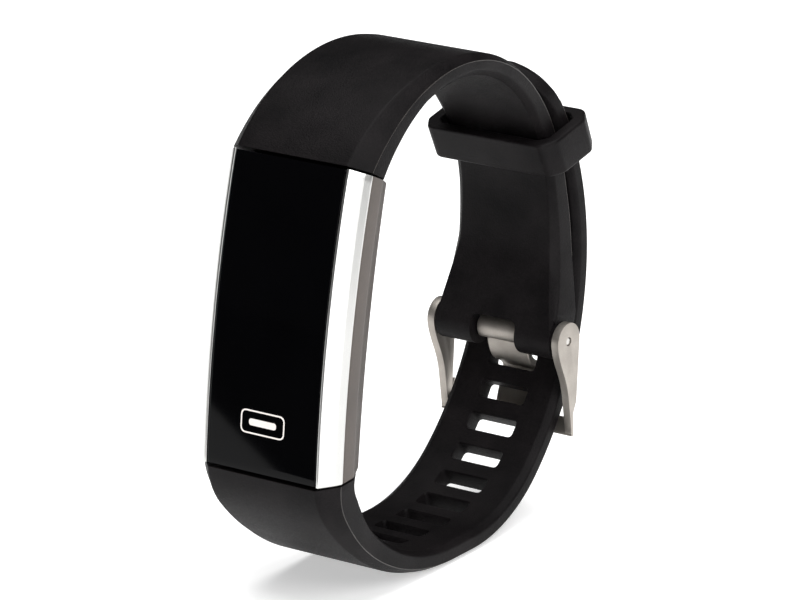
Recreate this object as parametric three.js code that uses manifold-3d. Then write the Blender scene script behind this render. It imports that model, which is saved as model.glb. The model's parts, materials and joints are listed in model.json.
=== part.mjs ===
// Fitness tracker band, closed on itself and standing on the underside of its strap.
// Millimetres, +Z up, +Y towards the buckle, X along the wearer's forearm.
// Every long piece follows a side line: the corner between its bevelled outside and its side wall.
import * as THREE from 'three';
import { mergeVertices } from 'three/addons/utils/BufferGeometryUtils.js';
import Module from 'manifold-3d';

const wasm = await Module();
wasm.setup();

// ---------- driving dimensions ----------
const MODULE_WIDTH = 20;
const MODULE_LENGTH = 36;
const MODULE_CURVE = 165;
const MODULE_LEAN = 10.9;
const MODULE_Y = -22.25;
const MODULE_Z = 35.2;
const END_TILT = 9;
const LEAVING_ANGLE = 24;
const CROWN = 2.2;
const BEVEL = 2.2;
const WALL = 2.4;
const CASE_BACK = 5.9;
const CASE_BACK_WIDTH = 15.8;
const LENS_THICKNESS = 0.9;
const SEAM = 0.3;
const FIT = 0.15;

const STRAP_CROWN = 0.6;
const STRAP_BEVEL = 1.0;
const STRAP_HALF = 7.2;
const STRAP_ROOT_DEPTH = 3.4;
const STUB_HALF = 5.7;
const STUB_REACH = 3;
const POCKET_WALL = 0.5;
const STUB_TOP = 0.9;
const STUB_DEPTH = 2.4;
const ARCH_BEND = 25;
const STANDING_LENGTH = 4;
const LUG_TOP = 24.6;
const TIP_LENGTH = 6;
const TAIL_DEPTH = 1.9;
const TAIL_ANGLE = 45;
const STRAP_GAP = 0.35;

const PIVOT = { y: 22.4, z: 21.6 };
const LUG_RADIUS = 2.5;
const LUG_WIDTH = 16.9;
const FAIRING_START = 12.5;
const NOTCH_WIDTH = 6.6;
const BUCKLE_WIDTH = 19.5;
const ARM_THICKNESS = 1.0;
const ARM_HEAD = 2.35;
const ARM_REACH = 12.6;
const CROSSBAR_AT = 57.9;
const CROSSBAR_HEIGHT = 2.2;
const TONGUE_WIDTH = 5.9;
const TONGUE_THICKNESS = 0.9;
const BARREL_RADIUS = 1.5;
const BAR_RADIUS = 0.75;
const BAR_BORE = 0.6;
const TIP_RADIUS = 0.4;

const SLOT_COUNT = 13;
const SLOT_PITCH = 4.6;
const SLOTS_BEFORE_TONGUE = 8;
const TONGUE_SLOT_AT = 65.6;
const SLOT_WIDTH = 6.8;
const SLOT_LENGTH = 2.2;
const SLOT_CORNER = 0.6;

const KEEPER_ANGLE = 21.3;
const KEEPER_SLANT = 1.1;
const KEEPER_HEIGHT = 4.9;
const KEEPER_WIDTH = 19;
const KEEPER_THICKNESS = 1.5;
const KEEPER_CLEARANCE = 0.35;
const KEEPER_STRAP_DEPTH = 2.7;
const TAIL_LIFT = 0.3;
const BAR_LIP = 0.5;
const COLLAR = 0.6;
const COIL_RADIUS = 0.42;
const COIL_WIRE = 0.1;
const COIL_TURNS = 7;

const RAIL_SEAT = -0.1;
const CAVITY_HALF = 7;
const LEDGE_TOP = 4.45;
const LEDGE_BOTTOM = 5;
const COVER_HALF_X = 6;
const COVER_RIM = 1.2;
const COVER_BACK = 6.5;
const CONTACT_X = [-2, 2];
const CONTACT_Z = -8;
const MOTOR_RADIUS = 3.2;

// ---------- materials ----------
const finish = (color, roughness, metalness) =>
  new THREE.MeshStandardMaterial({ color, roughness, metalness });
const rubber = () => finish(0x1f1e20, 0.75, 0);
const blackGlass = () => finish(0x050506, 0.05, 0);
const satinAluminium = () => finish(0xe8e7e5, 0.35, 1);
const greyCase = () => finish(0x6e6661, 0.5, 0.1);
const steel = () => finish(0xd0ccc6, 0.35, 1);
const blackPlastic = () => finish(0x17171a, 0.4, 0);
const boardGreen = () => finish(0x1d5a3a, 0.6, 0);
const copper = () => finish(0xc9a227, 0.3, 1);

// ---------- small helpers ----------
const rad = THREE.MathUtils.degToRad;
const band = new THREE.Group();
const moduleGroup = new THREE.Group();
moduleGroup.position.set(0, MODULE_Y, MODULE_Z);
moduleGroup.rotation.x = -rad(MODULE_LEAN);
moduleGroup.updateMatrix();
band.add(moduleGroup);

function add(parent, name, geometry, material) {
  const mesh = new THREE.Mesh(geometry, material);
  mesh.name = name;
  parent.add(mesh);
}

function toSolid(geometry) {
  const bare = geometry.clone();
  bare.deleteAttribute('normal');
  bare.deleteAttribute('uv');
  const merged = mergeVertices(bare, 1e-4);
  return new wasm.Manifold(new wasm.Mesh({
    numProp: 3,
    vertProperties: new Float32Array(merged.attributes.position.array),
    triVerts: new Uint32Array(merged.index.array),
  }));
}

function toGeometry(solid) {
  const mesh = solid.getMesh();
  const geometry = new THREE.BufferGeometry();
  geometry.setAttribute('position', new THREE.BufferAttribute(mesh.vertProperties, 3));
  geometry.setIndex(new THREE.BufferAttribute(mesh.triVerts, 1));
  return geometry;
}

function cut(body, ...tools) {
  return toGeometry(tools.reduce((left, tool) => left.subtract(toSolid(tool)), toSolid(body)));
}

function join(...bodies) {
  return toGeometry(bodies.map(toSolid).reduce((whole, next) => whole.add(next)));
}

// Closed skin through rings of equal length, with a fan on each end.
function skin(rings) {
  const count = rings[0].length;
  const positions = rings.flat().flatMap((point) => [point.x, point.y, point.z]);
  const index = [];
  for (let ring = 0; ring < rings.length - 1; ring += 1) {
    for (let i = 0; i < count; i += 1) {
      const a = ring * count + i;
      const b = ring * count + ((i + 1) % count);
      index.push(a, a + count, b, b, a + count, b + count);
    }
  }
  const last = (rings.length - 1) * count;
  for (let i = 1; i < count - 1; i += 1) {
    index.push(0, i, i + 1);
    index.push(last, last + i + 1, last + i);
  }
  const geometry = new THREE.BufferGeometry();
  geometry.setAttribute('position', new THREE.Float32BufferAttribute(positions, 3));
  geometry.setIndex(index);
  return geometry;
}

const mirrored = (half) => [...half, ...half.map(([x, h]) => [-x, h]).reverse()];

function roundedRectangle(halfX, halfY, radius) {
  const shape = new THREE.Shape();
  shape.absarc(halfX - radius, halfY - radius, radius, 0, Math.PI / 2);
  shape.absarc(radius - halfX, halfY - radius, radius, Math.PI / 2, Math.PI);
  shape.absarc(radius - halfX, radius - halfY, radius, Math.PI, Math.PI * 1.5);
  shape.absarc(halfX - radius, radius - halfY, radius, Math.PI * 1.5, Math.PI * 2);
  shape.closePath();
  return shape;
}

// A flat outline in X and Z, thick from y0 to y1.
function plate(shape, y0, y1, curveSegments = 5) {
  const geometry = new THREE.ExtrudeGeometry(shape, { depth: y1 - y0, bevelEnabled: false, curveSegments });
  return geometry.rotateX(Math.PI / 2).translate(0, y1, 0);
}

function block(x0, x1, y0, y1, z0, z1) {
  const geometry = new THREE.BoxGeometry(x1 - x0, y1 - y0, z1 - z0);
  return geometry.translate((x0 + x1) / 2, (y0 + y1) / 2, (z0 + z1) / 2);
}

// A round bar along X.
function crossBar(radius, x0, x1, y, z, sides = 20) {
  const geometry = new THREE.CylinderGeometry(radius, radius, x1 - x0, sides);
  return geometry.rotateZ(Math.PI / 2).translate((x0 + x1) / 2, y, z);
}

// A round peg along Y.
function peg(radius, x, z, y0, y1, sides = 20) {
  return new THREE.CylinderGeometry(radius, radius, y1 - y0, sides).translate(x, (y0 + y1) / 2, z);
}

// ---------- side lines ----------
// A side line is a chain of arcs and straights in the Y-Z plane. turn > 0 bends to the right.
class SideLine {
  constructor(y, z, heading) {
    this.legs = [];
    this.end = { y, z, heading };
    this.length = 0;
  }

  leg(length, turn) {
    this.legs.push({ ...this.end, from: this.length, length, turn });
    this.length += length;
    this.end = this.at(this.length);
    return this;
  }

  arc(radius, turn) {
    return this.leg(radius * Math.abs(rad(turn)), turn);
  }

  straight(length) {
    return this.leg(length, 0);
  }

  // Point at distance s, and the outward normal, which lies to the left of clockwise travel.
  at(s) {
    const leg = this.legs.findLast((one) => one.from <= s) ?? this.legs[0];
    const t = s - leg.from;
    const bend = s < 0 ? 0 : (leg.turn * t) / leg.length;
    const chord = bend === 0 ? t : (t * Math.sin(rad(bend / 2))) / rad(bend / 2);
    const way = rad(leg.heading - bend / 2);
    return {
      y: leg.y + chord * Math.cos(way),
      z: leg.z + chord * Math.sin(way),
      heading: leg.heading - bend,
    };
  }
}

const left = (heading) => ({ y: -Math.sin(rad(heading)), z: Math.cos(rad(heading)) });

function centreOfBend(point, radius, side) {
  const normal = left(point.heading);
  return { y: point.y + side * radius * normal.y, z: point.z + side * radius * normal.z };
}

const halfTurn = THREE.MathUtils.radToDeg(MODULE_LENGTH / 2 / MODULE_CURVE);

// Point of the module, in module coordinates: y is depth towards the wrist, z runs up the module.
function modulePoint(x, depth, along) {
  const turn = along / MODULE_CURVE;
  const reach = MODULE_CURVE - depth;
  return new THREE.Vector3(x, MODULE_CURVE - reach * Math.cos(turn), reach * Math.sin(turn));
}

const toBand = (point) => point.clone().applyMatrix4(moduleGroup.matrix);
const moduleTop = toBand(modulePoint(0, 0, MODULE_LENGTH / 2));
const moduleBottom = toBand(modulePoint(0, 0, -MODULE_LENGTH / 2));
const leavingHeading = 90 - MODULE_LEAN - halfTurn - LEAVING_ANGLE;

// The upper strap leaves the module's top, arches over and comes down the back to the buckle lug.
const upperLine = new SideLine(moduleTop.y, moduleTop.z, leavingHeading);
const archCentre = centreOfBend(upperLine.end, ARCH_BEND, -1);
upperLine.arc(ARCH_BEND, 127).arc(43, 16);
upperLine.straight(upperLine.end.z - LUG_TOP).arc(5, 62);

// The lower strap runs down, under and up outside the lug, then lands on the arch as the tail.
const downHeading = -90 - MODULE_LEAN + halfTurn;
const tailBend = ARCH_BEND + STRAP_CROWN + STRAP_GAP + TAIL_DEPTH;
const lowerLine = new SideLine(moduleBottom.y, moduleBottom.z, downHeading)
  .arc(7.5, -39)
  .arc(28.5, downHeading + 39)
  .straight(STANDING_LENGTH)
  .arc(20.5, -41.5);
const rise = lowerLine.end;
const riseNormal = left(rise.heading);
const away = { y: rise.y - archCentre.y, z: rise.z - archCentre.z };
const landingBend = (tailBend ** 2 - away.y ** 2 - away.z ** 2)
  / (2 * (away.y * riseNormal.y + away.z * riseNormal.z + tailBend));
const landingCentre = centreOfBend(rise, landingBend, 1);
const landingAngle = THREE.MathUtils.radToDeg(
  Math.atan2(archCentre.z - landingCentre.z, archCentre.y - landingCentre.y),
);
const landingHeading = landingAngle + 90;
lowerLine.arc(landingBend, rise.heading - landingHeading)
  .arc(tailBend, landingHeading - 90 - TAIL_ANGLE);

// ---------- straps ----------
// Ring of a strap at distance s. side is +1 where the outside is left of travel, -1 where it is right.
function strapRing(line, side, s, { half, crown, bevel, wall, depth }, slant = 0) {
  const outline = mirrored([
    [half - bevel, crown],
    [half, 0],
    [half, -wall],
    [half - 0.9, -depth],
  ]);
  return outline.map(([x, height]) => {
    const spot = line.at(s + slant * height);
    const normal = left(spot.heading);
    return new THREE.Vector3(x, spot.y + side * height * normal.y, spot.z + side * height * normal.z);
  });
}

// Section at distance s, blended between the hand-set stations.
function sectionAt(stations, s) {
  const next = stations.findIndex((station) => station.s >= s);
  if (next <= 0) {
    return stations[next === 0 ? 0 : stations.length - 1];
  }
  const from = stations[next - 1];
  const to = stations[next];
  const share = (s - from.s) / (to.s - from.s);
  const blend = (key) => THREE.MathUtils.lerp(from[key], to[key], share);
  return { half: blend('half'), crown: blend('crown'), bevel: blend('bevel'), wall: blend('wall'),
    depth: blend('depth') };
}

const station = (s, half, crown, bevel, wall, depth) => ({ s, half, crown, bevel, wall, depth });
const moduleEnd = station(0, MODULE_WIDTH / 2, CROWN, BEVEL, WALL, STRAP_ROOT_DEPTH);
const lugHalf = LUG_WIDTH / 2;
const upperStations = [
  moduleEnd,
  station(6, 9.9, 1.85, 1.9, 1.9, 2.9),
  station(14, 9.6, 1.25, 1.4, 1.3, 2.2),
  station(26, 9, 0.75, STRAP_BEVEL, 1.1, 1.9),
  station(41, 7.7, STRAP_CROWN, STRAP_BEVEL, 1.5, 2.1),
  station(49, STRAP_HALF, STRAP_CROWN, STRAP_BEVEL, 1.9, 2.4),
  station(57, STRAP_HALF, STRAP_CROWN, STRAP_BEVEL, 2.2, 2.8),
  station(upperLine.length - 13, 7.5, STRAP_CROWN, STRAP_BEVEL, 2.5, 3.5),
  station(upperLine.length - 8, 8.1, 0.4, 0.8, 3.2, 4.3),
  station(upperLine.length - 5, lugHalf, 0.3, 0.6, 4.2, 4.7),
  station(upperLine.length, lugHalf, 0.3, 0.6, 4.2, 4.7),
];
const lowerStations = [
  { ...moduleEnd, depth: STRAP_ROOT_DEPTH + 0.7 },
  station(5, 9.6, 1.65, 1.8, 2.9, 3.7),
  station(12, 8.9, 1.05, 1.3, 2.2, 2.8),
  station(25, 8.2, STRAP_CROWN, STRAP_BEVEL, 1.5, 2),
  station(50, 7.9, STRAP_CROWN, STRAP_BEVEL, 1.4, TAIL_DEPTH),
  station(75, 7.5, STRAP_CROWN, STRAP_BEVEL, 1.4, TAIL_DEPTH),
  station(lowerLine.length, STRAP_HALF, STRAP_CROWN, STRAP_BEVEL, 1.4, TAIL_DEPTH),
];

function strapSkin(line, side, stations, stops, slant, tipLength = 0) {
  const rings = stops.map((s) => {
    const section = { ...sectionAt(stations, s) };
    const intoTip = Math.max(0, s - (line.length - tipLength));
    if (intoTip > 0) {
      const roundness = Math.sqrt(1 - (intoTip / (tipLength * 1.02)) ** 2);
      section.half = STRAP_BEVEL + 0.4 + (section.half - STRAP_BEVEL - 0.4) * roundness;
    }
    return strapRing(line, side, s, section, s === SEAM ? slant : 0);
  });
  return skin(side > 0 ? rings.toReversed() : rings);
}

function stopsAlong(from, to, step) {
  const count = Math.ceil((to - from) / step);
  return Array.from({ length: count + 1 }, (_, i) => from + ((to - from) * i) / count);
}

// A box that crosses a strap at distance s, square to it.
function acrossStrap(line, s, shape, reach) {
  const spot = line.at(s);
  const settings = { depth: 2 * reach, bevelEnabled: false, curveSegments: 3 };
  const geometry = new THREE.ExtrudeGeometry(shape, settings);
  return geometry.translate(0, 0, -reach).rotateX(rad(spot.heading)).translate(0, spot.y, spot.z);
}

// The stub that plugs a strap into the module's end pocket, in module coordinates.
function strapStub(sign) {
  const inner = sign * (MODULE_LENGTH / 2 - STUB_REACH);
  const outer = sign * (MODULE_LENGTH / 2 + 1);
  const stub = block(-STUB_HALF, STUB_HALF, STUB_TOP, STUB_TOP + STUB_DEPTH, Math.min(inner, outer),
    Math.max(inner, outer));
  return stub;
}

function springBarAt(sign) {
  return { y: STUB_TOP + STUB_DEPTH / 2, z: sign * (MODULE_LENGTH / 2 - STUB_REACH + 1.35) };
}

function strapRoot(sign) {
  const bar = springBarAt(sign);
  const stub = cut(strapStub(sign), crossBar(BAR_RADIUS + FIT, -STUB_HALF - 1, STUB_HALF + 1, bar.y, bar.z));
  return stub.applyMatrix4(moduleGroup.matrix);
}

// Fills the hollow between the strap's inside and the lug, so that the skin runs smoothly onto it.
function lugFairing() {
  const spot = upperLine.at(upperLine.length - FAIRING_START);
  const normal = left(spot.heading);
  const inside = (depth) => ({ y: spot.y - depth * normal.y, z: spot.z - depth * normal.z });
  const front = inside(3.5);
  const towards = { y: front.y - PIVOT.y, z: front.z - PIVOT.z };
  const turn = Math.atan2(towards.z, towards.y)
    + Math.acos(LUG_RADIUS / Math.hypot(towards.y, towards.z));
  const touch = { y: PIVOT.y + LUG_RADIUS * Math.cos(turn), z: PIVOT.z + LUG_RADIUS * Math.sin(turn) };
  const ring = (near, far, nearHalf, farHalf) => [
    [-farHalf, far],
    [farHalf, far],
    [nearHalf, near],
    [-nearHalf, near],
  ].map(([x, place]) => new THREE.Vector3(x, place.y, place.z));
  return skin([ring(touch, PIVOT, lugHalf, lugHalf), ring(front, inside(1.5), 6.6, 7.4)]);
}

function upperStrap() {
  const stops = [SEAM, ...stopsAlong(3, upperLine.length - 6, 3.2), ...stopsAlong(upperLine.length - 4.5,
    upperLine.length, 1.1)];
  const slant = -Math.tan(rad(LEAVING_ANGLE - END_TILT));
  const sheet = strapSkin(upperLine, 1, upperStations, stops, slant);
  const lug = crossBar(LUG_RADIUS, -lugHalf, lugHalf, PIVOT.y, PIVOT.z, 28);
  const bore = crossBar(BAR_RADIUS + FIT, -lugHalf - 1, lugHalf + 1, PIVOT.y, PIVOT.z);
  const notch = block(-NOTCH_WIDTH / 2, NOTCH_WIDTH / 2, PIVOT.y - 6, PIVOT.y + 8, PIVOT.z - 6, PIVOT.z + 2);
  return cut(join(sheet, lug, lugFairing(), strapRoot(1)), bore, notch);
}

function lowerStrap() {
  const tip = lowerLine.length - TIP_LENGTH;
  const stops = [SEAM, ...stopsAlong(2.4, tip, 3), ...[0.3, 0.55, 0.75, 0.88, 0.96, 1].map((share) =>
    tip + share * TIP_LENGTH)];
  const sheet = strapSkin(lowerLine, -1, lowerStations, stops, Math.tan(rad(END_TILT)), TIP_LENGTH);
  const slots = Array.from({ length: SLOT_COUNT }, (_, i) => {
    const s = TONGUE_SLOT_AT + (i - SLOTS_BEFORE_TONGUE) * SLOT_PITCH;
    return acrossStrap(lowerLine, s, roundedRectangle(SLOT_WIDTH / 2, SLOT_LENGTH / 2, SLOT_CORNER), 4);
  });
  return cut(join(sheet, strapRoot(-1)), ...slots);
}

add(band, 'upper_strap', upperStrap(), rubber());
add(band, 'lower_strap', lowerStrap(), rubber());

// ---------- keeper ----------
// The loop follows the arch, so it is built round the arch's centre.
function keeperLoop() {
  const innerFace = ARCH_BEND - KEEPER_STRAP_DEPTH - KEEPER_CLEARANCE;
  const outerFace = tailBend + STRAP_CROWN + TAIL_LIFT + KEEPER_CLEARANCE;
  const half = KEEPER_WIDTH / 2 - KEEPER_THICKNESS;
  // grow is the wall's thickness on the outside of the loop and 0 on its inside.
  const ring = (grow, shift) => mirrored([
    [half - 1.2 + grow * 0.8, outerFace + grow],
    [half + grow, outerFace - 1.2 + grow * 0.2],
    [half + grow, innerFace + 0.9 - grow * 0.3],
    [half - 0.9 + grow * 0.8, innerFace - grow],
  ]).map(([x, reach]) => {
    const slant = (KEEPER_SLANT * (outerFace - reach)) / (outerFace - innerFace);
    const turn = rad(KEEPER_ANGLE) + (slant + shift) / reach;
    return new THREE.Vector3(
      x,
      archCentre.y + reach * Math.cos(turn),
      archCentre.z + reach * Math.sin(turn),
    );
  });
  const run = (grow, height) => skin([-1, -0.5, 0, 0.5, 1].map((share) => ring(grow, (share * height) / 2)));
  return cut(run(KEEPER_THICKNESS, KEEPER_HEIGHT), run(0, KEEPER_HEIGHT + 2));
}

add(band, 'keeper_loop', keeperLoop(), rubber());

// ---------- buckle ----------
const crossbarFace = PIVOT.y + ARM_HEAD - 0.3;

// Point off the lower strap's side line, height above it.
function offLowerStrap(s, height) {
  const spot = lowerLine.at(s);
  const normal = left(spot.heading);
  return new THREE.Vector2(spot.y - height * normal.y, spot.z - height * normal.z);
}

// Outline of one arm in Y and Z: a round head on the pivot and a shank that sweeps down to the crossbar.
function armOutline() {
  const foot = { y: PIVOT.y + 1.6, z: PIVOT.z - ARM_REACH };
  const shape = new THREE.Shape();
  shape.absarc(PIVOT.y, PIVOT.z, ARM_HEAD, 0, Math.PI * 1.05, false);
  shape.bezierCurveTo(PIVOT.y - 2, PIVOT.z - 2.8, PIVOT.y - 0.3, PIVOT.z - 4.6, PIVOT.y, PIVOT.z - 7.7);
  shape.lineTo(foot.y - 1.2, foot.z + 0.6);
  shape.lineTo(foot.y - 0.7, foot.z);
  shape.lineTo(foot.y - 0.1, foot.z + 0.2);
  shape.lineTo(foot.y + 0.3, foot.z + 0.9);
  shape.lineTo(PIVOT.y + ARM_HEAD, PIVOT.z - 7.6);
  shape.closePath();
  return shape;
}

// Outline of the crossbar: its inner face lies along the outside of the lower strap.
function crossbarOutline() {
  const low = offLowerStrap(CROSSBAR_AT, STRAP_CROWN + STRAP_GAP);
  const high = offLowerStrap(CROSSBAR_AT + CROSSBAR_HEIGHT, STRAP_CROWN + STRAP_GAP);
  const shape = new THREE.Shape();
  shape.moveTo(low.x, low.y);
  shape.lineTo(low.x + 0.9, low.y - 0.1);
  shape.lineTo(crossbarFace - 0.2, low.y + 0.7);
  shape.lineTo(crossbarFace, high.y - 0.3);
  shape.lineTo(crossbarFace - 0.3, high.y);
  shape.lineTo(high.x, high.y);
  shape.closePath();
  return shape;
}

// An outline in Y and Z, thick from x0 to x1.
function slab(shape, x0, x1) {
  const settings = { depth: x1 - x0, bevelEnabled: false, curveSegments: 16 };
  const geometry = new THREE.ExtrudeGeometry(shape, settings);
  geometry.applyMatrix4(new THREE.Matrix4().makeBasis(
    new THREE.Vector3(0, 1, 0),
    new THREE.Vector3(0, 0, 1),
    new THREE.Vector3(1, 0, 0),
  ));
  return geometry.translate(x0, 0, 0);
}

function buckleFrame() {
  const half = BUCKLE_WIDTH / 2;
  const arms = join(
    slab(armOutline(), half - ARM_THICKNESS, half),
    slab(armOutline(), -half, ARM_THICKNESS - half),
  );
  const bar = slab(crossbarOutline(), -half, half);
  const holes = crossBar(TIP_RADIUS + FIT, -half - 1, half + 1, PIVOT.y, PIVOT.z, 16);
  return cut(join(arms, bar), holes);
}

// The tongue leaves its barrel, goes out through a slot and comes down on the crossbar's outside.
function buckleTongue() {
  const inMouth = offLowerStrap(TONGUE_SLOT_AT + 0.2, -TAIL_DEPTH);
  const outMouth = offLowerStrap(TONGUE_SLOT_AT - 0.2, STRAP_CROWN);
  const rest = crossbarFace + SEAM + TONGUE_THICKNESS / 2;
  const curve = new THREE.CatmullRomCurve3([
    new THREE.Vector3(0, PIVOT.y + 0.9, PIVOT.z - 0.6),
    new THREE.Vector3(0, PIVOT.y + 1.4, PIVOT.z - 2.9),
    new THREE.Vector3(0, inMouth.x, inMouth.y),
    new THREE.Vector3(0, outMouth.x, outMouth.y),
    new THREE.Vector3(0, outMouth.x + 0.3, outMouth.y - 1.3),
    new THREE.Vector3(0, rest + 0.9, outMouth.y - 3),
    new THREE.Vector3(0, rest + 0.3, outMouth.y - 4.6),
    new THREE.Vector3(0, rest, outMouth.y - 6),
  ]);
  const half = TONGUE_WIDTH / 2;
  const thin = TONGUE_THICKNESS / 2;
  const rings = curve.getPoints(18).map((spot, i, all) => {
    const way = curve.getTangent(i / (all.length - 1));
    const narrow = i === all.length - 1 ? 0.6 : 0;
    return [[narrow - half, thin], [narrow - half, -thin], [half - narrow, -thin], [half - narrow, thin]]
      .map(([x, t]) => new THREE.Vector3(x, spot.y - t * way.z, spot.z + t * way.y));
  });
  const barrel = crossBar(BARREL_RADIUS, -half, half, PIVOT.y, PIVOT.z, 24);
  const bore = crossBar(BAR_RADIUS + FIT, -half - 1, half + 1, PIVOT.y, PIVOT.z, 24);
  return cut(join(skin(rings), barrel), bore);
}

add(band, 'buckle_frame', buckleFrame(), steel());
add(band, 'buckle_tongue', buckleTongue(), steel());

// ---------- spring bars ----------
// A tube with a crimped tip on the left and a sprung tip on the right.
// reach is how far each tip's end lies from the middle.
function addSpringBar(parent, name, y, z, tubeHalf, reach) {
  const tube = cut(
    crossBar(BAR_RADIUS, -tubeHalf, tubeHalf, y, z),
    crossBar(BAR_BORE, -tubeHalf + BAR_LIP, tubeHalf - BAR_LIP, y, z, 16),
    crossBar(TIP_RADIUS + 0.05, -tubeHalf - 1, tubeHalf + 1, y, z, 16),
  );
  add(parent, `${name}_tube`, tube, steel());
  const start = tubeHalf - BAR_LIP - COLLAR - 0.1;
  for (const [ending, sign] of [['fixed_tip', -1], ['sprung_tip', 1]]) {
    const rod = crossBar(TIP_RADIUS, start, reach, 0, 0, 16);
    const collar = crossBar(BAR_BORE - 0.05, start, start + COLLAR, 0, 0, 16);
    const tip = join(rod, collar);
    if (sign < 0) {
      tip.rotateZ(Math.PI);
    }
    add(parent, `${name}_${ending}`, tip.translate(0, y, z), steel());
  }
  const coilHalf = start - COIL_WIRE - 0.05;
  class Coil extends THREE.Curve {
    getPoint(t, target = new THREE.Vector3()) {
      const turn = t * 2 * Math.PI * COIL_TURNS;
      const x = THREE.MathUtils.lerp(-coilHalf, coilHalf, t);
      return target.set(x, y + COIL_RADIUS * Math.cos(turn), z + COIL_RADIUS * Math.sin(turn));
    }
  }
  const wire = new THREE.Shape().absarc(0, 0, COIL_WIRE, 0, Math.PI * 2);
  const coil = new THREE.ExtrudeGeometry(wire, {
    steps: COIL_TURNS * 10,
    curveSegments: 3,
    extrudePath: new Coil(),
  });
  add(parent, `${name}_spring`, coil, steel());
}

addSpringBar(band, 'buckle_bar', PIVOT.y, PIVOT.z, lugHalf - 0.4, BUCKLE_WIDTH / 2 - 0.15);
for (const [name, sign] of [['upper_bar', 1], ['lower_bar', -1]]) {
  const spot = springBarAt(sign);
  addSpringBar(moduleGroup, name, spot.y, spot.z, STUB_HALF - 0.3, STUB_HALF + 1.4);
}

// ---------- module ----------
// Solid that follows the module's curve: an outline in X and depth, run between tilted end faces.
function moduleRun(outline, halfLength, tilt = END_TILT) {
  const lean = Math.tan(rad(tilt));
  const rings = [-1, -0.75, -0.5, -0.25, 0, 0.25, 0.5, 0.75, 1].map((share) =>
    outline.map(([x, depth]) => modulePoint(x, depth, share * (halfLength - depth * lean))));
  return skin(rings);
}

const box = (half, top, bottom) => [[-half, bottom], [half, bottom], [half, top], [-half, top]];
const halfWidth = MODULE_WIDTH / 2;
const halfLength = MODULE_LENGTH / 2;
const cavityHalf = halfLength - STUB_REACH - SEAM - POCKET_WALL;
const coverHalfZ = cavityHalf - COVER_RIM;
const boardHalf = cavityHalf - 0.8;
const board = { top: 1.45, bottom: 2.05 };
const chipTop = board.bottom + 0.1;
const motor = { radius: MOTOR_RADIUS, x: -2.2, z: boardHalf - MOTOR_RADIUS - 0.3, top: chipTop, bottom: 4.4 };

function caseBody() {
  const backHalf = CASE_BACK_WIDTH / 2;
  const outside = moduleRun([
    [-backHalf, CASE_BACK + 0.6],
    [backHalf, CASE_BACK + 0.6],
    [halfWidth, WALL],
    [halfWidth, 0.45],
    [halfWidth - 1, RAIL_SEAT],
    [1 - halfWidth, RAIL_SEAT],
    [-halfWidth, 0.45],
    [-halfWidth, WALL],
  ], halfLength);
  const flatBack = block(-12, 12, CASE_BACK, CASE_BACK + 4, -30, 30);
  const room = block(-CAVITY_HALF, CAVITY_HALF, -3, LEDGE_TOP, -cavityHalf, cavityHalf);
  const ledge = plate(roundedRectangle(COVER_HALF_X - 0.8, coverHalfZ - 0.8, 1.5), LEDGE_TOP - 1,
    CASE_BACK + 1);
  const seat = plate(roundedRectangle(COVER_HALF_X + FIT, coverHalfZ + FIT, 2), LEDGE_BOTTOM, CASE_BACK + 1);
  const pockets = [1, -1].flatMap((sign) => {
    const inner = sign * (halfLength - STUB_REACH - SEAM);
    const outer = sign * (halfLength + 3);
    const bar = springBarAt(sign);
    return [
      block(-STUB_HALF - SEAM, STUB_HALF + SEAM, STUB_TOP - SEAM, STUB_TOP + STUB_DEPTH + SEAM,
        Math.min(inner, outer), Math.max(inner, outer)),
      crossBar(TIP_RADIUS + FIT, -STUB_HALF - 1.7, STUB_HALF + 1.7, bar.y, bar.z, 16),
    ];
  });
  return cut(outside, flatBack, room, ledge, seat, ...pockets);
}

function rail(sign) {
  const outline = [
    [halfWidth - 2.05, RAIL_SEAT - FIT],
    [halfWidth - 1.1, RAIL_SEAT - FIT],
    [halfWidth, 0.28],
    [halfWidth, 0],
    [halfWidth - 0.45, -0.7],
    [halfWidth - 1.75, -CROWN],
    [halfWidth - 2.05, -CROWN],
  ];
  const run = outline.map(([x, depth]) => [sign * x, depth]);
  return moduleRun(sign > 0 ? run : run.toReversed(), halfLength);
}

function frontLens() {
  const half = halfWidth - BEVEL;
  return moduleRun([
    [-half, LENS_THICKNESS - CROWN],
    [half, LENS_THICKNESS - CROWN],
    [half, -CROWN + 0.2],
    [half - 0.3, -CROWN],
    [0.3 - half, -CROWN],
    [-half, -CROWN + 0.2],
  ], halfLength - 0.1);
}

add(moduleGroup, 'case_body', caseBody(), greyCase());
add(moduleGroup, 'rail_right', rail(1), satinAluminium());
add(moduleGroup, 'rail_left', rail(-1), satinAluminium());
add(moduleGroup, 'front_lens', frontLens(), blackGlass());
const electrode = moduleRun(box(CAVITY_HALF - 0.1, -0.75, -0.6), cavityHalf + 0.8, 0);
add(moduleGroup, 'touch_electrode', electrode, copper());
const display = moduleRun(box(CAVITY_HALF - 0.25, -0.45, 0.6), cavityHalf - 0.25, 0);
add(moduleGroup, 'display_panel', display, blackGlass());

const mainBoard = plate(roundedRectangle(CAVITY_HALF - 0.8, boardHalf, 1), board.top, board.bottom);
add(moduleGroup, 'main_board', mainBoard, boardGreen());
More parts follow.
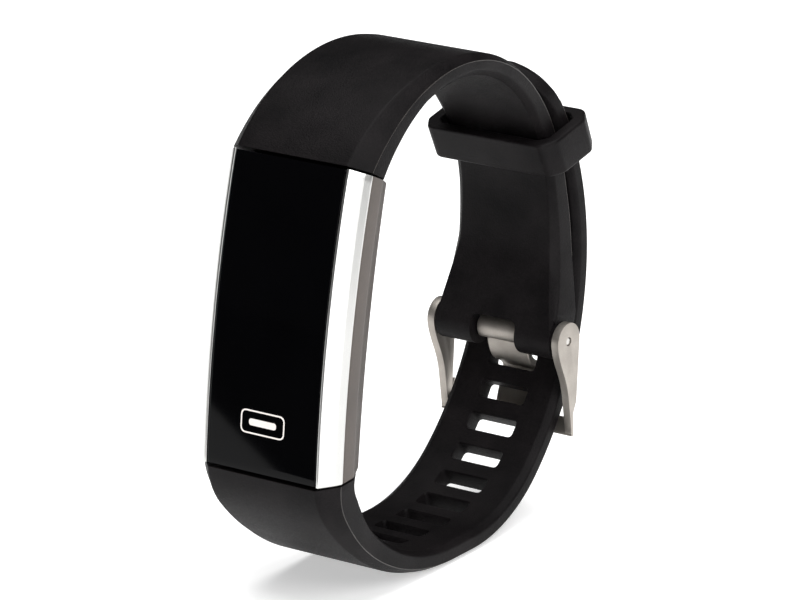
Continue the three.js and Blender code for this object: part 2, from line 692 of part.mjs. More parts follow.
// Name, X, distance below the motor's middle, width, length and thickness.
const chips = [
  ['processor', -3.3, 5.5, 3.6, 3.6, 0.8],
  ['radio_chip', 3.4, 6.5, 3, 3, 0.8],
  ['motion_sensor', 3.8, -1.4, 2, 2.4, 0.8],
  ['charge_controller', 4, 2.3, 2, 2, 0.7],
];
for (const [name, x, drop, wide, high, thick] of chips) {
  const z = motor.z - drop;
  const chip = block(x - wide / 2, x + wide / 2, chipTop, chipTop + thick, z - high / 2, z + high / 2);
  add(moduleGroup, name, chip, blackPlastic());
}
const battery = { top: motor.z - 8.1, bottom: 0.8 - boardHalf };
const batteryHalf = (battery.top - battery.bottom) / 2;
add(moduleGroup, 'battery_cell', plate(roundedRectangle(4.9, batteryHalf, 0.8), 2.2, LEDGE_TOP - 0.1)
  .translate(0, 0, battery.bottom + batteryHalf), satinAluminium());

// ---------- vibration motor ----------
function motorCase() {
  return cut(
    peg(motor.radius, motor.x, motor.z, motor.top, motor.bottom, 28),
    peg(motor.radius - 0.35, motor.x, motor.z, motor.top - 1, motor.bottom - 0.35, 28),
  );
}

function motorWeight() {
  const half = new THREE.Shape();
  half.absarc(0, 0, motor.radius - 0.6, -0.2, Math.PI + 0.2, false);
  half.lineTo(-0.9, -0.6);
  half.lineTo(0.9, -0.6);
  half.closePath();
  const sector = plate(half, motor.top + 0.35, motor.bottom - 0.7, 10).translate(motor.x, 0, motor.z);
  return cut(sector, peg(0.3, motor.x, motor.z, motor.top, motor.bottom, 14));
}

add(moduleGroup, 'vibration_motor_case', motorCase(), steel());
const motorShaft = peg(0.25, motor.x, motor.z, motor.top + 0.2, motor.bottom - 0.5, 14);
add(moduleGroup, 'vibration_motor_shaft', motorShaft, steel());
add(moduleGroup, 'vibration_motor_weight', motorWeight(), steel());

// ---------- back cover and sensor ----------
const COVER_TOP = LEDGE_BOTTOM + 0.35;
const screwSpots = [[1, 1], [1, -1], [-1, 1], [-1, -1]].map(([x, z]) =>
  [x * (COVER_HALF_X - 1.5), z * (coverHalfZ - 1.5)]);

function backCover() {
  const body = plate(roundedRectangle(COVER_HALF_X, coverHalfZ, 2), COVER_TOP, COVER_BACK);
  const window = plate(roundedRectangle(3.4 + FIT, 3.9 + FIT, 2), COVER_TOP - 1, COVER_BACK + 1);
  const screws = screwSpots.map(([x, z]) => peg(0.9, x, z, COVER_TOP - 1, COVER_BACK + 1));
  const contacts = CONTACT_X.map((x) => peg(0.95 + FIT, x, CONTACT_Z, COVER_TOP - 1, COVER_BACK + 1));
  return cut(body, window, ...screws, ...contacts);
}

function coverGasket() {
  return cut(
    plate(roundedRectangle(COVER_HALF_X, coverHalfZ, 2), LEDGE_BOTTOM + 0.05, COVER_TOP - 0.05),
    plate(roundedRectangle(COVER_HALF_X - 0.6, coverHalfZ - 0.6, 1.5), LEDGE_BOTTOM - 1, COVER_TOP + 1),
  );
}

add(moduleGroup, 'back_cover', backCover(), blackPlastic());
add(moduleGroup, 'cover_gasket', coverGasket(), rubber());
screwSpots.forEach(([x, z], i) => {
  const screw = peg(0.75, x, z, LEDGE_BOTTOM + 0.45, COVER_BACK - 0.15, 16);
  add(moduleGroup, `cover_screw_${i + 1}`, screw, steel());
});
const contactNames = ['charge_contact_left', 'charge_contact_right'];
CONTACT_X.forEach((x, i) => {
  add(moduleGroup, contactNames[i], peg(0.95, x, CONTACT_Z, COVER_TOP, COVER_BACK - 0.1), copper());
});
add(moduleGroup, 'sensor_window', plate(roundedRectangle(3.4, 3.9, 2), COVER_BACK - 0.55, COVER_BACK + 0.35),
  blackGlass());
add(moduleGroup, 'sensor_board', plate(roundedRectangle(3.1, 3.6, 0.6), 4.5, 4.8), boardGreen());
add(moduleGroup, 'photodiode', block(-0.8, 0.8, 4.9, 5.3, -0.8, 0.8), blackPlastic());
add(moduleGroup, 'sensor_led_top', block(-0.7, 0.7, 4.9, 5.3, 1.6, 2.6), finish(0x6fd08c, 0.3, 0));
add(moduleGroup, 'sensor_led_bottom', block(-0.7, 0.7, 4.9, 5.3, -2.6, -1.6), finish(0x6fd08c, 0.3, 0));

// ---------- placed on its underside ----------
const bounds = new THREE.Box3().setFromObject(band, true);
band.position.set(0, -(bounds.min.y + bounds.max.y) / 2, -bounds.min.z);

export default band;
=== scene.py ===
import json
from math import acos, atan2, cos, degrees, pi, radians, sin, tan

import bmesh
import bpy
from mathutils import Matrix, Vector
from mathutils.geometry import interpolate_bezier


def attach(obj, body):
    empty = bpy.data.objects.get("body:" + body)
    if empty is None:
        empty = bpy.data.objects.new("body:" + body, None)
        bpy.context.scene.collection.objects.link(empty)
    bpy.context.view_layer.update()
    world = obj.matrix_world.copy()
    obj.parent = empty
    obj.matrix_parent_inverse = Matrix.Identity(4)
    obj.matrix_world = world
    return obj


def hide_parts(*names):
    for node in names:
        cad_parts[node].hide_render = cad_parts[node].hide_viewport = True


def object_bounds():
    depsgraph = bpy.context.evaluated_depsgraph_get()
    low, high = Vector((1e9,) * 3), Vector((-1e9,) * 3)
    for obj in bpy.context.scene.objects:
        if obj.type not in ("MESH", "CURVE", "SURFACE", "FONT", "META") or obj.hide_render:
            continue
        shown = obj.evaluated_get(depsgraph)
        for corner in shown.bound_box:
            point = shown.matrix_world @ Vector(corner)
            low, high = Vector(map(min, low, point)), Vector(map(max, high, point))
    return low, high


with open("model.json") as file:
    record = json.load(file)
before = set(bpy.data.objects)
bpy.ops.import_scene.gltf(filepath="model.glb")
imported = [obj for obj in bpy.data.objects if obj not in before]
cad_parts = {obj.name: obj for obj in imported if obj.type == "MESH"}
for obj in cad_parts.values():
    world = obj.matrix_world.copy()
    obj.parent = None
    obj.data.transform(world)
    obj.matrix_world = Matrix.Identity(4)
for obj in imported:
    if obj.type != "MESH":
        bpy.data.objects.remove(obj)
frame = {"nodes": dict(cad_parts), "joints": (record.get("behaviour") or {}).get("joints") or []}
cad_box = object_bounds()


# ---------------------------------------------------------------- camera
# A long lens from the front right and a little above, so that the loop's open side shows. It stands well
# back, which keeps the near and far edges of the band almost parallel.
MM = 0.001
middle = (Vector(cad_box[0]) + Vector(cad_box[1])) / 2
view_azimuth, view_height, view_roll = radians(36.0), radians(17.89), radians(-0.74)
view_distance, aim_shift = 594.8, (0, -0.82, 0.15)
target = middle + Vector(aim_shift) * MM
away = Vector((sin(view_azimuth) * cos(view_height), -cos(view_azimuth) * cos(view_height),
               sin(view_height)))
level = Vector((cos(view_azimuth), sin(view_azimuth), 0))
overhead = away.cross(level)
right = level * cos(view_roll) + overhead * sin(view_roll)
up = overhead * cos(view_roll) - level * sin(view_roll)
camera_data = bpy.data.cameras.new("camera")
camera_data.lens = 225
camera_data.sensor_width = 36
camera_data.clip_start = 0.05
camera = bpy.data.objects.new("camera", camera_data)
bpy.context.scene.collection.objects.link(camera)
place = Matrix((right, up, away)).transposed().to_4x4()
place.translation = target + away * view_distance * MM
camera.matrix_world = place
bpy.context.scene.camera = camera


# ---------------------------------------------------------------- floor and light
# A matt white sweep under large soft boxes, as in a catalogue studio. The floor glows a little, so that only
# a soft contact shadow is left on it.
def linear(hex_colour):
    """sRGB hex to linear RGBA."""
    value = hex_colour.lstrip("#")
    parts = [int(value[i:i + 2], 16) / 255 for i in (0, 2, 4)]
    return tuple(c / 12.92 if c <= 0.04045 else ((c + 0.055) / 1.055) ** 2.4 for c in parts) + (1.0,)


def node(tree, kind, inputs=None, **settings):
    """Adds a node with its settings. An input is a value, or another node's output to link from."""
    made = tree.nodes.new(kind)
    for key, value in settings.items():
        setattr(made, key, value)
    for key, value in (inputs or {}).items():
        if isinstance(value, bpy.types.NodeSocket):
            tree.links.new(value, made.inputs[key])
        else:
            made.inputs[key].default_value = value
    return made


def new_material(name):
    """An empty material and its node tree."""
    material = bpy.data.materials.new(name)
    material.use_nodes = True
    material.node_tree.nodes.clear()
    return material, material.node_tree


def finish_material(tree, shader):
    """Puts the shader on the material's surface."""
    node(tree, "ShaderNodeOutputMaterial", {"Surface": shader.outputs[0]})


def add_object(name, mesh):
    """A new object in the scene."""
    piece = bpy.data.objects.new(name, mesh)
    bpy.context.scene.collection.objects.link(piece)
    return piece


white_floor, tree = new_material("matt_white_sweep")
finish_material(tree, node(tree, "ShaderNodeBsdfPrincipled",
                           {"Base Color": linear("#ffffff"), "Roughness": 0.9,
                            "Emission Color": linear("#ffffff"), "Emission Strength": 0.45}))
floor_mesh = bpy.data.meshes.new("floor")
floor_half = 3
floor_mesh.from_pydata([(-floor_half, -floor_half, 0), (floor_half, -floor_half, 0),
                        (floor_half, floor_half, 0), (-floor_half, floor_half, 0)], [], [(0, 1, 2, 3)])
floor_mesh.materials.append(white_floor)
floor = add_object("floor", floor_mesh)

# A dull black card that only mirrors see. The glass reflects it, so only a low corner of the glass picks up
# the floor.
black_card, tree = new_material("matt_black_card")
finish_material(tree, node(tree, "ShaderNodeBsdfPrincipled",
                           {"Base Color": linear("#050505"), "Roughness": 0.95}))
card_mesh = bpy.data.meshes.new("black_card")
card_height = 0.0005
card_outline = [(-0.017, -0.07), (-0.078, -0.127), (-2.6, -2.53), (-2.6, -2.95), (2.0, -2.95),
                (0.032, -0.138)]
card_mesh.from_pydata([(x, y, card_height) for x, y in card_outline], [], [tuple(range(len(card_outline)))])
card_mesh.materials.append(black_card)
card = add_object("black_card", card_mesh)
card.visible_camera = False
card.visible_shadow = False
card.visible_diffuse = False

world = bpy.data.worlds.new("studio")
bpy.context.scene.world = world
world.use_nodes = True
sky = world.node_tree.nodes["Background"].inputs
sky["Color"].default_value = (1, 1, 1, 1)
sky["Strength"].default_value = 0.05
bpy.context.scene.view_settings.view_transform = "Standard"


def soft_box(name, place, aim, size, power):
    """A rectangular lamp turned to its aim, with its size in metres and its power in watts."""
    data = bpy.data.lights.new(name, "AREA")
    data.shape = "RECTANGLE"
    data.size, data.size_y = size
    data.energy = power
    lamp = bpy.data.objects.new(name, data)
    bpy.context.scene.collection.objects.link(lamp)
    lamp.location = place
    lamp.rotation_euler = (Vector(aim) - Vector(place)).to_track_quat("-Z", "Y").to_euler()


soft_box("top_box", (0, 0, 0.9), middle, (0.9, 0.9), 9)
soft_box("key_box", (0.55, -0.25, 0.5), middle, (0.4, 0.4), 3)
soft_box("side_card", (0.52, -0.52, 0.1), middle, (0.35, 0.35), 1.9)


# ---------------------------------------------------------------- upper strap
# Injection-moulded thermoplastic polyurethane, dyed through in near black. The mould is spark eroded, so
# the skin has a fine dull grain that catches light along the bevels and the side walls.
class SideLine:
    """The corner between a strap's bevelled outside and its side wall, as a chain of arcs and straights."""

    def __init__(self, y, z, heading):
        self.legs = []
        self.length = 0.0
        self.end = (y, z, heading)

    def leg(self, length, turn=0.0):
        self.legs.append((*self.end, self.length, length, turn))
        self.length += length
        self.end = self.at(self.length)
        return self

    def arc(self, radius, turn):
        return self.leg(radius * abs(radians(turn)), turn)

    def at(self, s):
        y, z, heading, start, length, turn = next(
            (leg for leg in reversed(self.legs) if leg[3] <= s), self.legs[0])
        bend = turn * (s - start) / length if s > 0 else 0.0
        half = radians(bend / 2)
        chord = (s - start) * (sin(half) / half if half else 1.0)
        way = radians(heading) - half
        return y + chord * cos(way), z + chord * sin(way), heading - bend

    def off(self, s, height, side):
        """Point at distance s, height outside the side line. side is +1 where outside is to the left."""
        y, z, heading = self.at(s)
        return y - side * height * sin(radians(heading)), z + side * height * cos(radians(heading))


# The strap leaves the slanted end of the module, arches over, runs down the back and curls round the lug.
ARCH_RADIUS, ARCH_TURN, BACK_RADIUS, BACK_TURN, CURL_RADIUS, CURL_TURN = 25.0, 127, 43, 16, 5, 62
MODULE_LEAN, MODULE_RADIUS, MODULE_HALF, END_TILT, LEAVING_ANGLE = 10.9, 165.0, 18.0, 9.0, 24.0
joints = {joint["name"]: joint for joint in frame["joints"]}
arch_centre = Vector(joints["keeper_travel"]["pos_m"]) / MM
pivot = Vector(joints["buckle_swing"]["pos_m"]) / MM
half_turn = degrees(MODULE_HALF / MODULE_RADIUS)
first_heading = 90 - MODULE_LEAN - half_turn - LEAVING_ANGLE
module_top = (arch_centre.y - ARCH_RADIUS * sin(radians(first_heading)),
              arch_centre.z + ARCH_RADIUS * cos(radians(first_heading)))
lug_top = pivot.z + 3.0
upper_line = SideLine(*module_top, first_heading).arc(ARCH_RADIUS, ARCH_TURN).arc(BACK_RADIUS, BACK_TURN)
upper_line.leg(upper_line.end[1] - lug_top).arc(CURL_RADIUS, CURL_TURN)


def blended(stations, s):
    """Section sizes at distance s, eased between the stations."""
    if s <= stations[0][0]:
        return stations[0][1:]
    for low, high in zip(stations, stations[1:]):
        if s <= high[0]:
            t = (s - low[0]) / (high[0] - low[0])
            return tuple(a + (b - a) * t for a, b in zip(low[1:], high[1:]))
    return stations[-1][1:]


def fillet(points, radii, steps=4):
    """Rounds each corner of a closed outline. Each gives steps + 1 points and takes under half of a side."""
    out = []
    count = len(points)
    for i, (x, y) in enumerate(points):
        here, before, after = Vector((x, y)), Vector(points[i - 1]), Vector(points[(i + 1) % count])
        to_before, to_after = before - here, after - here
        opening = to_before.angle(to_after, pi)
        reach = radii[i] / tan(opening / 2) if opening < pi - 0.01 else 0.0
        reach = min(reach, 0.48 * to_before.length, 0.48 * to_after.length)
        start = here + to_before.normalized() * reach
        end = here + to_after.normalized() * reach
        for step in range(steps + 1):
            t = step / steps
            out.append(tuple(start * (1 - t) ** 2 + here * 2 * t * (1 - t) + end * t * t))
    return out


def strap_ring(line, side, s, sizes, slant=0.0, squeeze=1.0):
    """One section of a strap: flat outside, bevel, upright wall and softened inner edges."""
    half, crown, bevel, wall, depth = sizes
    inner_ease = 0.9
    corners = [(half - bevel, crown * squeeze), (half, 0), (half, -wall * squeeze),
               (half - inner_ease, -depth * squeeze)]
    corners += [(-x, h) for x, h in reversed(corners)]
    radii = [0.5, 0.12, 0.45, 0.5, 0.5, 0.45, 0.12, 0.5]
    ring = []
    for x, h in fillet(corners, radii):
        y, z = line.off(s + slant * h, h, side)
        ring.append((x, y, z))
    return ring


def strap_stops(start, end, step):
    """Even distances from start to end, no more than step apart."""
    count = int((end - start) / step) + 1
    return [start + (end - start) * i / count for i in range(count + 1)]


def tidy(piece, merge=0.002):
    """Merges doubles and turns every face outwards."""
    work = bmesh.new()
    work.from_mesh(piece.data)
    bmesh.ops.remove_doubles(work, verts=work.verts, dist=merge * MM)
    bmesh.ops.recalc_face_normals(work, faces=work.faces)
    work.to_mesh(piece.data)
    work.free()


def loft(name, rings, closed=False):
    """A skin through rings of points in millimetres. An open run gets both ends filled."""
    mesh = bpy.data.meshes.new(name)
    count = len(rings[0])
    points = [tuple(c * MM for c in point) for ring in rings for point in ring]
    pairs = [(r, (r + 1) % len(rings)) for r in range(len(rings) if closed else len(rings) - 1)]
    faces = [(r * count + i, r * count + (i + 1) % count, q * count + (i + 1) % count, q * count + i)
             for r, q in pairs for i in range(count)]
    if not closed:
        faces += [tuple(range(count)), tuple(range((len(rings) - 1) * count, len(rings) * count))]
    mesh.from_pydata(points, [], faces)
    piece = add_object(name, mesh)
    tidy(piece)
    return piece


def apply_modifiers(piece):
    """Turns the evaluated shape into the piece's own plain mesh."""
    bpy.context.view_layer.update()
    shape = piece.evaluated_get(bpy.context.evaluated_depsgraph_get())
    mesh = bpy.data.meshes.new_from_object(shape)
    piece.modifiers.clear()
    piece.data = mesh


def combine(piece, tool, operation):
    """Cuts or joins with an exact boolean. The tool is used up."""
    step = piece.modifiers.new("combine", "BOOLEAN")
    step.operation = operation
    step.solver = "EXACT"
    step.object = tool
    apply_modifiers(piece)
    bpy.data.objects.remove(tool)


def slab(name, outline, x0, x1):
    """An outline in Y and Z run along X from x0 to x1."""
    return loft(name, [[(x, y, z) for y, z in outline] for x in (x0, x1)])


def bar(name, radius, x0, x1, y, z, sides=40):
    """A round bar along X."""
    ring = [(y + radius * cos(2 * pi * i / sides), z + radius * sin(2 * pi * i / sides))
            for i in range(sides)]
    return slab(name, ring, x0, x1)


def shade(piece, material, angle=35):
    """Gives the piece its one material and smooth shading up to angle."""
    piece.data.materials.clear()
    piece.data.materials.append(material)
    piece.data.polygons.foreach_set("material_index", [0] * len(piece.data.polygons))
    piece.data.polygons.foreach_set("use_smooth", [True] * len(piece.data.polygons))
    piece.data.set_sharp_from_angle(angle=radians(angle))
    piece.data.update()


def surface(name, dark, lit, drift_mm, grain_mm, depth_mm, rough, **extra):
    """A solid finish: a slow drift between two colours, a fine grain in the roughness and in the relief."""
    material, tree = new_material(name)
    place = node(tree, "ShaderNodeTexCoord").outputs["Object"]
    drift = node(tree, "ShaderNodeTexNoise", {"Vector": place, "Scale": 1 / (drift_mm * MM), "Detail": 3.0})
    grain = node(tree, "ShaderNodeTexNoise", {"Vector": place, "Scale": 1 / (grain_mm * MM), "Detail": 3.0,
                                              "Roughness": 0.6})
    both = node(tree, "ShaderNodeMath", {0: drift.outputs["Fac"], 1: grain.outputs["Fac"]},
                operation="MULTIPLY")
    tint = node(tree, "ShaderNodeMapRange", {"Value": both.outputs[0], "From Min": 0.1, "From Max": 0.45})
    colour = node(tree, "ShaderNodeMix", {0: tint.outputs["Result"], 6: linear(dark), 7: linear(lit)},
                  data_type="RGBA")
    relief = node(tree, "ShaderNodeBump", {"Height": grain.outputs["Fac"], "Strength": 0.6,
                                           "Distance": depth_mm * MM})
    dullness = node(tree, "ShaderNodeMapRange", {"Value": grain.outputs["Fac"], "From Min": 0.3,
                                                 "From Max": 0.7, "To Min": rough[0], "To Max": rough[1]})
    shader = node(tree, "ShaderNodeBsdfPrincipled", {
        "Base Color": colour.outputs[2], "Roughness": dullness.outputs["Result"],
        "Normal": relief.outputs["Normal"], **extra})
    finish_material(tree, shader)
    return material


# Black compound with a spark-eroded mould grain: dull, with only a faint sheen along the bevels. The grain is
# drawn coarser than the real one, so that it shows.
strap_tpu = surface("tpu_spark_eroded_black", "#050405", "#1b1819", 5, 0.2, 0.08, (0.4, 0.62),
                    **{"IOR": 1.5, "Specular IOR Level": 0.09})
SEAM = 0.3
module_section = (10.0, 2.2, 2.2, 2.4, 3.4)
lug_half = 8.45
reach = upper_line.length
RING_STEP, LUG_RING_STEP, LUG_ZONE = 0.7, 0.5, 5
# Each station is the distance along the line, then half width, crown, bevel, wall and depth.
upper_stations = [
    (0, *module_section), (6, 9.9, 1.85, 1.9, 1.9, 2.9), (14, 9.6, 1.25, 1.4, 1.3, 2.2),
    (26, 9.0, 0.75, 1.0, 1.1, 1.9), (41, 7.7, 0.6, 1.0, 1.5, 2.1), (49, 7.2, 0.6, 1.0, 1.9, 2.4),
    (57, 7.2, 0.6, 1.0, 2.2, 2.8), (reach - 13, 7.5, 0.6, 1.0, 2.5, 3.5),
    (reach - 8, 8.1, 0.4, 0.8, 3.2, 4.3), (reach - LUG_ZONE, lug_half, 0.3, 0.6, 4.2, 4.7),
    (reach, lug_half, 0.3, 0.6, 4.2, 4.7)]
root_slant = -tan(radians(LEAVING_ANGLE - END_TILT))
upper_strap = loft("upper_strap_moulding", [
    strap_ring(upper_line, 1, s, blended(upper_stations, s), root_slant * max(0.0, 1 - s / 5))
    for s in strap_stops(SEAM, reach - LUG_ZONE, RING_STEP) + strap_stops(reach - 4.6, reach, LUG_RING_STEP)])
LUG_RADIUS, NOTCH_HALF = 2.5, 3.3
combine(upper_strap, bar("lug", LUG_RADIUS, -lug_half, lug_half, pivot.y, pivot.z, 64), "UNION")
# The inside runs down onto the lug without a hollow.
FAIRING_START, FAIRING_FRONT, FAIRING_BACK = 12.5, 3.5, 1.5
front = Vector((0, *upper_line.off(reach - FAIRING_START, -FAIRING_FRONT, 1)))
back = Vector((0, *upper_line.off(reach - FAIRING_START, -FAIRING_BACK, 1)))
hub = Vector((0, pivot.y, pivot.z))
touch_turn = atan2(front.z - hub.z, front.y - hub.y) + acos(LUG_RADIUS / (front - hub).length)
touch = hub + Vector((0, cos(touch_turn), sin(touch_turn))) * LUG_RADIUS
combine(upper_strap, loft("fairing", [
    [(-far, *hind.yz), (far, *hind.yz), (near, *fore.yz), (-near, *fore.yz)]
    for fore, hind, near, far in ((front, back, 6.6, 7.4), (touch, hub, lug_half, lug_half))]), "UNION")
# The lug is notched in the middle for the tongue's barrel.
notch_low, notch_high = pivot.z - 6, pivot.z + 2
notch = loft("notch", [[(x, y, z) for x, z in fillet(
    [(-NOTCH_HALF, notch_low), (NOTCH_HALF, notch_low), (NOTCH_HALF, notch_high), (-NOTCH_HALF, notch_high)],
    [0.1, 0.1, 1.0, 1.0])] for y in (pivot.y - 6, pivot.y + 8)])
combine(upper_strap, notch, "DIFFERENCE")
BAR_BORE = 0.9
combine(upper_strap, bar("bore", BAR_BORE, -lug_half - 1, lug_half + 1, pivot.y, pivot.z), "DIFFERENCE")
shade(upper_strap, strap_tpu)
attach(upper_strap, "band")
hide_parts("upper_strap")


def parting_line(name, line, side, stations, stops):
    """The fine raised line that the mould's two halves leave along both outer edges of a strap."""
    bead, sunk = 0.05, 0.03
    edges = []
    for hand in (1, -1):
        rings = []
        for s in stops:
            half = blended(stations, s)[0]
            rings.append([(hand * (half - sunk) + bead * cos(turn), *line.off(s, bead * sin(turn), side))
                          for turn in (radians(60 * i) for i in range(6))])
        edges.append(loft(name, rings))
    combine(edges[0], edges[1], "UNION")
    return edges[0]


# The mould's parting line is polished by handling; its paler colour is a painted highlight, so it shows as a
# thin bright edge.
polished_tpu_painted_highlight = surface("tpu_parting_line_polished_painted_highlight", "#1d1b1a", "#4a4643", 2, 0.15, 0.01, (0.25, 0.35),
                       IOR=1.5)
upper_parting = parting_line("upper_parting_line", upper_line, 1, upper_stations,
                             strap_stops(SEAM, reach - 12, RING_STEP))
shade(upper_parting, polished_tpu_painted_highlight)
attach(upper_parting, "band")


# ---------------------------------------------------------------- lower strap
# The long half of the band, moulded in the same compound. Cores in the mould leave the row of slots, with a
# small radius round each mouth. Its tail lies over the upper strap and ends in a round tip.
lean = radians(MODULE_LEAN)
module_chord = 2 * MODULE_RADIUS * sin(radians(half_turn))
module_bottom = (module_top[0] - module_chord * sin(lean), module_top[1] - module_chord * cos(lean))
HIP_RADIUS, HIP_TURN, BELLY_RADIUS, STANDING_LENGTH, REAR_RADIUS, REAR_TURN = 7.5, 39, 28.5, 4.0, 20.5, 41.5
TAIL_DEPTH, STRAP_CROWN, STRAP_GAP = 1.9, 0.6, 0.35
TAIL_RADIUS = ARCH_RADIUS + STRAP_CROWN + STRAP_GAP + TAIL_DEPTH
down = -90 - MODULE_LEAN + half_turn
lower_line = SideLine(*module_bottom, down).arc(HIP_RADIUS, -HIP_TURN).arc(BELLY_RADIUS, down + HIP_TURN)
lower_line.leg(STANDING_LENGTH).arc(REAR_RADIUS, -REAR_TURN)
# The rising arc is the one that lands on the tail's circle round the arch without a kink.
rise_y, rise_z, rise_heading = lower_line.end
out_y, out_z = rise_y - arch_centre.y, rise_z - arch_centre.z
normal_y, normal_z = -sin(radians(rise_heading)), cos(radians(rise_heading))
landing_radius = ((TAIL_RADIUS ** 2 - out_y ** 2 - out_z ** 2)
                  / (2 * (out_y * normal_y + out_z * normal_z + TAIL_RADIUS)))
landing_heading = 90 + degrees(atan2(arch_centre.z - rise_z - landing_radius * normal_z,
                                     arch_centre.y - rise_y - landing_radius * normal_y))
TAIL_END = 45
lower_line.arc(landing_radius, rise_heading - landing_heading)
lower_line.arc(TAIL_RADIUS, landing_heading - 90 - TAIL_END)

TIP, TIP_RINGS, TIP_FLAT = 6.0, 24, 1.6
length = lower_line.length
lower_stations = [
    (0, 10.0, 2.2, 2.2, 2.4, 4.1), (5, 9.6, 1.65, 1.8, 2.9, 3.7), (12, 8.9, 1.05, 1.3, 2.2, 2.8),
    (25, 8.2, STRAP_CROWN, 1.0, 1.5, 2.0), (50, 7.9, STRAP_CROWN, 1.0, 1.4, TAIL_DEPTH),
    (75, 7.5, STRAP_CROWN, 1.0, 1.4, TAIL_DEPTH), (length, 7.2, STRAP_CROWN, 1.0, 1.4, TAIL_DEPTH)]
rings = []
for s in strap_stops(SEAM, length - TIP, RING_STEP):
    slant = tan(radians(END_TILT)) * max(0.0, 1 - s / 4)
    rings.append(strap_ring(lower_line, -1, s, blended(lower_stations, s), slant))
# The tip narrows in a quarter turn and thins over its last rings.
for step in range(1, TIP_RINGS + 1):
    turn = pi / 2 * step / TIP_RINGS
    half, *others = blended(lower_stations, length)
    width = TIP_FLAT + (half - TIP_FLAT) * cos(turn) ** 0.9 if step < TIP_RINGS else TIP_FLAT
    squeeze = 1.0 if step < TIP_RINGS - 4 else 1.0 - 0.1 * (step - TIP_RINGS + 5)
    rings.append(strap_ring(lower_line, -1, length - TIP + TIP * sin(turn), (width, *others), 0, squeeze))
lower_strap = loft("lower_strap_moulding", rings)

SLOT_HALF, SLOT_LENGTH, SLOT_CORNER, SLOT_PITCH, SLOT_COUNT = 3.4, 2.2, 0.6, 4.6, 13
TONGUE_SLOT_AT, SLOTS_BEFORE_TONGUE = 65.6, 8
FIRST_SLOT = TONGUE_SLOT_AT - SLOTS_BEFORE_TONGUE * SLOT_PITCH
# One core: straight through the strap and flared where it meets the outside and the inside. The row turns its
# upper side to the wrist, so the outside of the strap is down.
slot_outline = fillet([(-SLOT_HALF, -SLOT_LENGTH / 2), (SLOT_HALF, -SLOT_LENGTH / 2),
                       (SLOT_HALF, SLOT_LENGTH / 2), (-SLOT_HALF, SLOT_LENGTH / 2)], [SLOT_CORNER] * 4, 5)


def core_ring(height, flare):
    """The slot's outline at one height from the side line, grown all round by the flare."""
    return [(x * (1 + flare / SLOT_HALF), y * (1 + 2 * flare / SLOT_LENGTH), -height)
            for x, y in slot_outline]


core_levels = [(-3.2, 0.5), (-1.92, 0.1), (-1.8, 0.03), (-1.65, 0), (0.4, 0), (0.52, 0.03), (0.62, 0.1),
               (1.6, 0.5)]
core = loft("slot_core", [core_ring(height, flare) for height, flare in core_levels])

line_curve = bpy.data.curves.new("side_line", "CURVE")
line_curve.dimensions = "3D"
spline = line_curve.splines.new("POLY")
stops = strap_stops(0.0, length, 0.25)
spline.points.add(len(stops) - 1)
for point, s in zip(spline.points, stops):
    y, z, _ = lower_line.at(s)
    point.co = (0, y * MM, z * MM, 1)
line_piece = add_object("side_line", line_curve)


def slot_row_tree():
    """Geometry nodes: sets a core square to the line at every pitch and cuts them all from the strap."""
    tree = bpy.data.node_groups.new("slot_row", "GeometryNodeTree")
    tree.interface.new_socket("Strap", in_out="INPUT", socket_type="NodeSocketGeometry")
    for label, kind in (("Line", "NodeSocketObject"), ("Core", "NodeSocketObject"),
                        ("Count", "NodeSocketInt"), ("First", "NodeSocketFloat"),
                        ("Pitch", "NodeSocketFloat"), ("Material", "NodeSocketMaterial")):
        tree.interface.new_socket(label, in_out="INPUT", socket_type=kind)
    tree.interface.new_socket("Strap", in_out="OUTPUT", socket_type="NodeSocketGeometry")
    given = node(tree, "NodeGroupInput").outputs
    row = node(tree, "GeometryNodeMeshLine", {"Count": given["Count"]})
    index = node(tree, "GeometryNodeInputIndex")
    step = node(tree, "ShaderNodeMath", {0: index.outputs[0], 1: given["Pitch"]}, operation="MULTIPLY")
    distance = node(tree, "ShaderNodeMath", {0: step.outputs[0], 1: given["First"]}, operation="ADD")
    line = node(tree, "GeometryNodeObjectInfo", {"Object": given["Line"]})
    sample = node(tree, "GeometryNodeSampleCurve", {"Curves": line.outputs["Geometry"],
                                                    "Length": distance.outputs[0]}, mode="LENGTH")
    placed = node(tree, "GeometryNodeSetPosition", {"Geometry": row.outputs["Mesh"],
                                                    "Position": sample.outputs["Position"]})
    turned = node(tree, "FunctionNodeAlignRotationToVector", {"Vector": sample.outputs["Tangent"]}, axis="Y",
                  pivot_axis="X")
    core_info = node(tree, "GeometryNodeObjectInfo", {"Object": given["Core"]})
    cores = node(tree, "GeometryNodeInstanceOnPoints", {
        "Points": placed.outputs["Geometry"], "Instance": core_info.outputs["Geometry"],
        "Rotation": turned.outputs["Rotation"]})
    real = node(tree, "GeometryNodeRealizeInstances", {"Geometry": cores.outputs["Instances"]})
    cut = node(tree, "GeometryNodeMeshBoolean", {"Mesh 1": given["Strap"],
                                                 "Mesh 2": real.outputs["Geometry"]},
               operation="DIFFERENCE", solver="EXACT")
    skinned = node(tree, "GeometryNodeSetMaterial", {"Geometry": cut.outputs["Mesh"],
                                                     "Material": given["Material"]})
    node(tree, "NodeGroupOutput", {"Strap": skinned.outputs["Geometry"]})
    return tree


def run_tree(piece, tree, **values):
    """Runs a geometry node tree on a piece with named inputs, and keeps the result as its mesh."""
    step = piece.modifiers.new(tree.name, "NODES")
    step.node_group = tree
    for item in tree.interface.items_tree:
        if item.in_out == "INPUT" and item.name in values:
            step[item.identifier] = values[item.name]
    apply_modifiers(piece)


